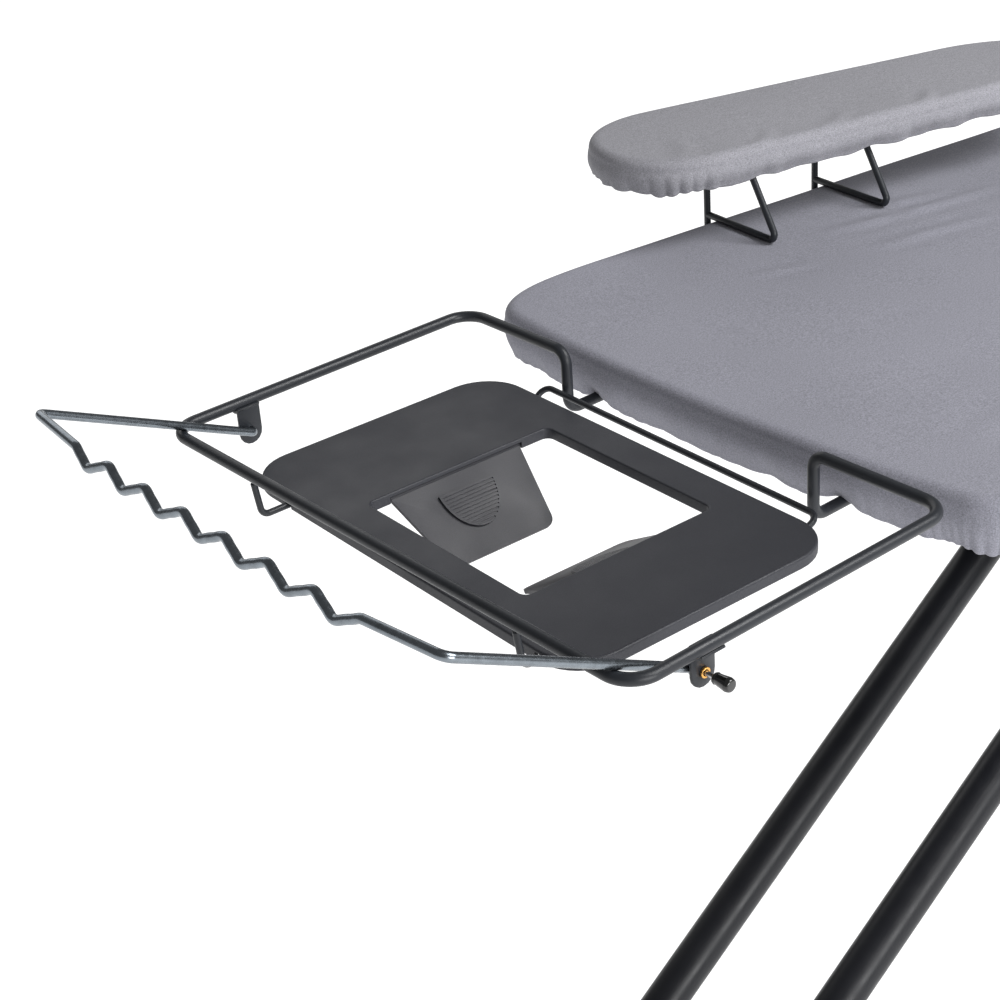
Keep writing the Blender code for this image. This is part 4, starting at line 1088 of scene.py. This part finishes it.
# ---------------------------------------------------------------- legs and lever
def legs():
    rise = LEG_TOP_Z - FOOT_RADIUS
    length = rise / math.sin(LEG_ANGLE)
    upper = (LEG_B_TOP_X - LEG_A_TOP_X) / 2 / math.cos(LEG_ANGLE)
    cross = Vector(((LEG_A_TOP_X + LEG_B_TOP_X) / 2, 0, LEG_TOP_Z - upper * math.sin(LEG_ANGLE)))
    for letter, top_x, sign_x, y, bar_half in (
            ("a", LEG_A_TOP_X, 1, LEG_A_Y, 0.190), ("b", LEG_B_TOP_X, -1, LEG_B_Y, 0.225)):
        body = f"leg_{letter}"
        direction = Vector((sign_x * math.cos(LEG_ANGLE), 0, -math.sin(LEG_ANGLE)))
        top = Vector((top_x, 0, LEG_TOP_Z))
        foot = top + direction * length
        for sign, side in ((1, "far"), (-1, "near")):
            start = top + direction * -0.015 + Vector((0, sign * y, 0))
            run = length + 0.015
            inner = LEG_RADIUS - LEG_WALL
            bm = bmesh.new()
            turn_into(bm, start, direction, closed_profile(
                [(0, inner), (0, LEG_RADIUS), (run, LEG_RADIUS), (run, inner)], 0.0003), 72, loop=True)
            tube = add_piece(f"leg_{letter}_tube_{side}_v", bm, LEG_BLACK, body,
                             (f"leg_{letter}_tube_{side}",), 35)
            for centre, radius in ((foot, BAR_RADIUS + GAP), (top, 0.0044), (cross, 0.0044)):
                drill = bmesh.new()
                turn_into(drill, (centre.x, -0.2, centre.z), AXIS_Y, cylinder(radius, 0.4), 64)
                boolean(tube, "DIFFERENCE", cutter("drill", drill))
            resurface(tube, LEG_BLACK, 35)
            outer_end = bar_half + 0.010
            profile = rounded_profile(
                [(0, 0), (0, FOOT_RADIUS), (0.004, FOOT_RADIUS), (0.0046, FOOT_RADIUS - 0.0006),
                 (0.0356, FOOT_RADIUS - 0.0006), (0.0362, FOOT_RADIUS), (0.040, FOOT_RADIUS),
                 (0.040, BAR_RADIUS + GAP), (0.0097, BAR_RADIUS + GAP), (0.0097, 0)],
                [0.0028, 0.0004, 0.0004, 0.0004, 0.0004, 0.0012, 0.0006, 0.0004], 6)
            turned(f"leg_{letter}_cap_{side}_v", (foot.x, sign * outer_end, foot.z), (0, -sign, 0), profile,
                   CAP_BLACK, body, (f"leg_{letter}_cap_{side}",), 64)
        inner = BAR_RADIUS - LEG_WALL
        turned(f"leg_{letter}_foot_v", (foot.x, -bar_half, foot.z), AXIS_Y, closed_profile(
            [(0, inner), (0, BAR_RADIUS), (2 * bar_half, BAR_RADIUS), (2 * bar_half, inner)], 0.0003), LEG_BLACK,
            body, (f"leg_{letter}_foot",), 64, True)
    for sign, side in ((1, "far"), (-1, "near")):
        inside, outside = LEG_B_Y - LEG_RADIUS, LEG_A_Y + LEG_RADIUS
        low = inside - 0.006
        turned(f"cross_bolt_{side}_v", (cross.x, sign * low, cross.z), (0, sign, 0), rounded_profile(
            [(0, 0), (0, 0.0075), (0.0052, 0.0075), (0.0052, 0.0040), (outside + 0.0008 - low, 0.0040),
             (outside + 0.0008 - low, 0.0075), (outside + 0.005 - low, 0.0075), (outside + 0.005 - low, 0)],
            [0.0022, 0.0005, 0.0003, 0.0003, 0.0005, 0.0024], 5), STEEL, "leg_a",
            (f"cross_bolt_{side}",))
        start, end = LEG_B_Y + LEG_RADIUS + 0.0006, LEG_A_Y - LEG_RADIUS - 0.0006
        turned(f"cross_spacer_{side}_v", (cross.x, sign * start, cross.z), (0, sign, 0), closed_profile(
            [(0, 0.0044), (0, 0.010), (end - start, 0.010), (end - start, 0.0044)], 0.0005), CAP_BLACK, "leg_a",
            (f"cross_spacer_{side}",), 64, True)
        inner, outer = LEG_A_Y - 0.0180, LEG_A_Y + 0.0180
        start = (LEG_A_TOP_X, sign * (inner + 0.0004), LEG_TOP_Z)
        turned(f"leg_pin_{side}_v", start, (0, sign, 0), rounded_profile(
            [(0, 0), (0, 0.0040), (0.0359, 0.0040), (0.0359, 0.0065), (0.0386, 0.0065), (0.0386, 0)],
            [0.0005, 0.0003, 0.0004, 0.0016], 5), STEEL, "board", (f"leg_pin_{side}",))
    turned("slide_axle_v", (LEG_B_TOP_X, -0.0765, LEG_TOP_Z), AXIS_Y, rounded_profile(
        [(0, 0), (0, 0.0065), (0.0020, 0.0065), (0.0020, 0.0040), (0.1510, 0.0040), (0.1510, 0.0065),
         (0.1530, 0.0065), (0.1530, 0)], 0.0004, 4), STEEL, "leg_b", ("slide_axle",))
    turned("slide_roller_v", (LEG_B_TOP_X, -0.0215, LEG_TOP_Z), AXIS_Y, closed_profile(
        [(0, 0.0043), (0, 0.0052), (0.0430, 0.0052), (0.0430, 0.0043)], 0.0003), CAP_BLACK, "leg_b",
        ("slide_roller",), 48, True)


def lever():
    x, z = 0.736, 0.7265
    path = bent([(x, 0.031, z), (x, -0.128, z), (x + 0.062, -0.132, z - 0.010)], [0.010])
    wire("height_lever_wire", path, 0.0030, FRAME_BLACK, "height_lever", ("height_lever",), 28)
    back = (path[-2] - path[-1]).normalized()
    start = path[-1] - back * 0.004
    bore = 0.0030 + GAP
    profile = [(0, 0), (0, 0.0056)]
    for index in range(7):
        at = 0.006 + 0.0055 * index
        profile += [(at, 0.0062), (at + 0.0018, 0.0055)]
    profile += [(0.046, 0.0060), (0.046, bore), (0.0037, bore), (0.0037, 0)]
    turned("height_grip_v", start, back, rounded_profile(profile, 0.0005, 3), GRIP_BLACK, "height_lever",
           ("height_grip",), 56)


# ---------------------------------------------------------------- sleeve board stands
def stand_matrix(number):
    along = Vector((1, EDGE_SLOPE, 0)).normalized()
    place = STAND_START + along * (STAND_SPACING * number)
    return Matrix((
        (-along.y, -along.x, 0, place.x), (along.x, -along.y, 0, place.y), (0, 0, 1, 0), (0, 0, 0, 1)))


def stands():
    top = SLEEVE_TOP - COVER_THICK - 2 * GAP - FELT_THICK - SHEET - GAP - STAND_WIRE
    low = BOARD_TOP + GAP + STAND_WIRE
    for number, reach in enumerate(STAND_REACH):
        slant_top = -reach + (top - low) / SLANT_SLOPE
        corners = [
            (0, 0, SLEEVE_AXIS_Z + 0.003 + GAP), (0, 0, top), (slant_top, 0, top), (-reach, 0, low),
            (-0.0005, 0, low)]
        path = [stand_matrix(number) @ point for point in bent(corners, [0.006, 0.006, 0.0045])]
        wire(f"sleeve_stand_{number + 1}_wire", path, STAND_WIRE, FRAME_BLACK, "sleeve_board",
             (f"sleeve_stand_{number + 1}",), 28)
    along = Vector((1, EDGE_SLOPE, 0)).normalized()
    start = STAND_START + along * -0.028 + Vector((0, 0, SLEEVE_AXIS_Z))
    turned("sleeve_hinge_rod_v", start, along, rounded_profile(
        [(0, 0), (0, 0.0030), (0.158, 0.0030), (0.158, 0)], 0.0006, 5), STEEL, "sleeve_board",
        ("sleeve_hinge_rod",), 40)


# ---------------------------------------------------------------- build
felt_top = BOARD_TOP - COVER_THICK - GAP
main_cover()
felt_pad("board_felt_pad", board_curves(), (0.225, 1.10), felt_top, 0.0042, "board", "board_felt")
sleeve_cloth()
sleeve_felt_top = SLEEVE_TOP - COVER_THICK - GAP
felt_pad("sleeve_felt_pad", sleeve_curves(), (0.062, 0.350), sleeve_felt_top, 0.0038, "sleeve_board",
         "sleeve_felt", sleeve_matrix())
felt_low = felt_top - FELT_THICK
deck_pan("board_deck_pan", board_curves(), (0.225, 1.10), felt_low - GAP, 0.7345, 0.0030, "board", "board_deck")
sleeve_low = sleeve_felt_top - FELT_THICK
deck_pan("sleeve_deck_pan", sleeve_curves(), (0.062, 0.350), sleeve_low - GAP, 0.8065, 0.0032, "sleeve_board",
         "sleeve_deck", sleeve_matrix())
rest_loop()
tray_hanger()
tray()
for side_sign in (1, -1):
    flap(side_sign)
hanger_rail()
release_pin()
legs()
lever()
stands()
for node in ("tail_channel", "leg_rack", "rest_saddle_far", "rest_saddle_near", "hanger_bracket_far",
             "hanger_bracket_near", "leg_clevis_far", "leg_clevis_near", "sleeve_clip_1", "sleeve_clip_2",
             "sleeve_strap_1", "sleeve_strap_2", "height_catch"):
    keep_node(node, FRAME_BLACK)
for node in ("rest_rivet_far_1", "rest_rivet_far_2", "rest_rivet_near_1", "rest_rivet_near_2"):
    keep_node(node, STEEL, 0.0001, 60)


# ---------------------------------------------------------------- floor, light and camera
def floor():
    material, tree, shader = principled("floor_pale", 0.9, specular=0.1)
    vector = coordinates(tree)
    cloud = noise(tree, vector, 0.8, 2)
    paint(tree, shader, ramp(tree, cloud, [(0.3, (0.34, 0.34, 0.34)), (0.7, (0.36, 0.36, 0.36))]))
    tone = ramp(tree, cloud, [(0.3, (0.99, 0.99, 0.99)), (0.7, (1.0, 1.0, 1.0))])
    tree.links.new(tone, shader.inputs["Emission Color"])
    shader.inputs["Emission Strength"].default_value = 0.98
    mesh = bpy.data.meshes.new("floor")
    reach = 30.0
    corners = [(-reach, -reach, 0), (reach, -reach, 0), (reach, reach, 0), (-reach, reach, 0)]
    mesh.from_pydata(corners, [], [(0, 1, 2, 3)])
    mesh.materials.append(material)
    plane = bpy.data.objects.new("floor", mesh)
    bpy.context.scene.collection.objects.link(plane)


def softbox(name, place, target, size, power):
    light = bpy.data.lights.new(name, "AREA")
    light.shape = "RECTANGLE"
    light.size, light.size_y = size
    light.energy = power
    item = bpy.data.objects.new(name, light)
    bpy.context.scene.collection.objects.link(item)
    place = Vector(place)
    turn = (Vector(target) - place).to_track_quat("-Z", "Y")
    item.matrix_world = Matrix.Translation(place) @ turn.to_matrix().to_4x4()
    return item


def camera():
    data = bpy.data.cameras.new("camera")
    data.sensor_width = 36.0
    data.lens = 74.47
    data.clip_start = 0.05
    data.clip_end = 200
    item = bpy.data.objects.new("camera", data)
    bpy.context.scene.collection.objects.link(item)
    yaw, pitch, roll = math.radians(38.299), math.radians(28.393), math.radians(-4.449)
    ahead = Vector((math.sin(yaw) * math.cos(pitch), math.cos(yaw) * math.cos(pitch), -math.sin(pitch)))
    right = Vector((math.cos(yaw), -math.sin(yaw), 0))
    up = right.cross(ahead)
    turned_right = right * math.cos(roll) + up * math.sin(roll)
    turned_up = up * math.cos(roll) - right * math.sin(roll)
    place = Vector((-0.7903, -0.7996, 1.2989)) + ORIGIN
    columns = (turned_right, turned_up, -ahead)
    item.matrix_world = Matrix((
        (*(c.x for c in columns), place.x), (*(c.y for c in columns), place.y),
        (*(c.z for c in columns), place.z), (0, 0, 0, 1)))
    bpy.context.scene.camera = item


floor()
softbox("key", (0.8, -1.6, 2.9), (-0.1, 0, 0.7), (1.4, 1.4), 90)
softbox("fill", (2.2, -2.2, 2.2), (-0.2, 0, 0.6), (2.0, 2.0), 8)
softbox("front", (-0.6, -2.8, 1.2), (0.0, 0, 0.75), (1.6, 1.0), 62)
softbox("rim", (0.4, 2.8, 2.2), (-0.2, 0, 0.7), (3.0, 1.6), 20)
world = bpy.data.worlds.new("studio")
world.use_nodes = True
world.node_tree.nodes["Background"].inputs["Color"].default_value = (1.0, 1.0, 1.0, 1)
world.node_tree.nodes["Background"].inputs["Strength"].default_value = 0.18
bpy.context.scene.world = world
bpy.context.scene.view_settings.view_transform = "Standard"
camera()
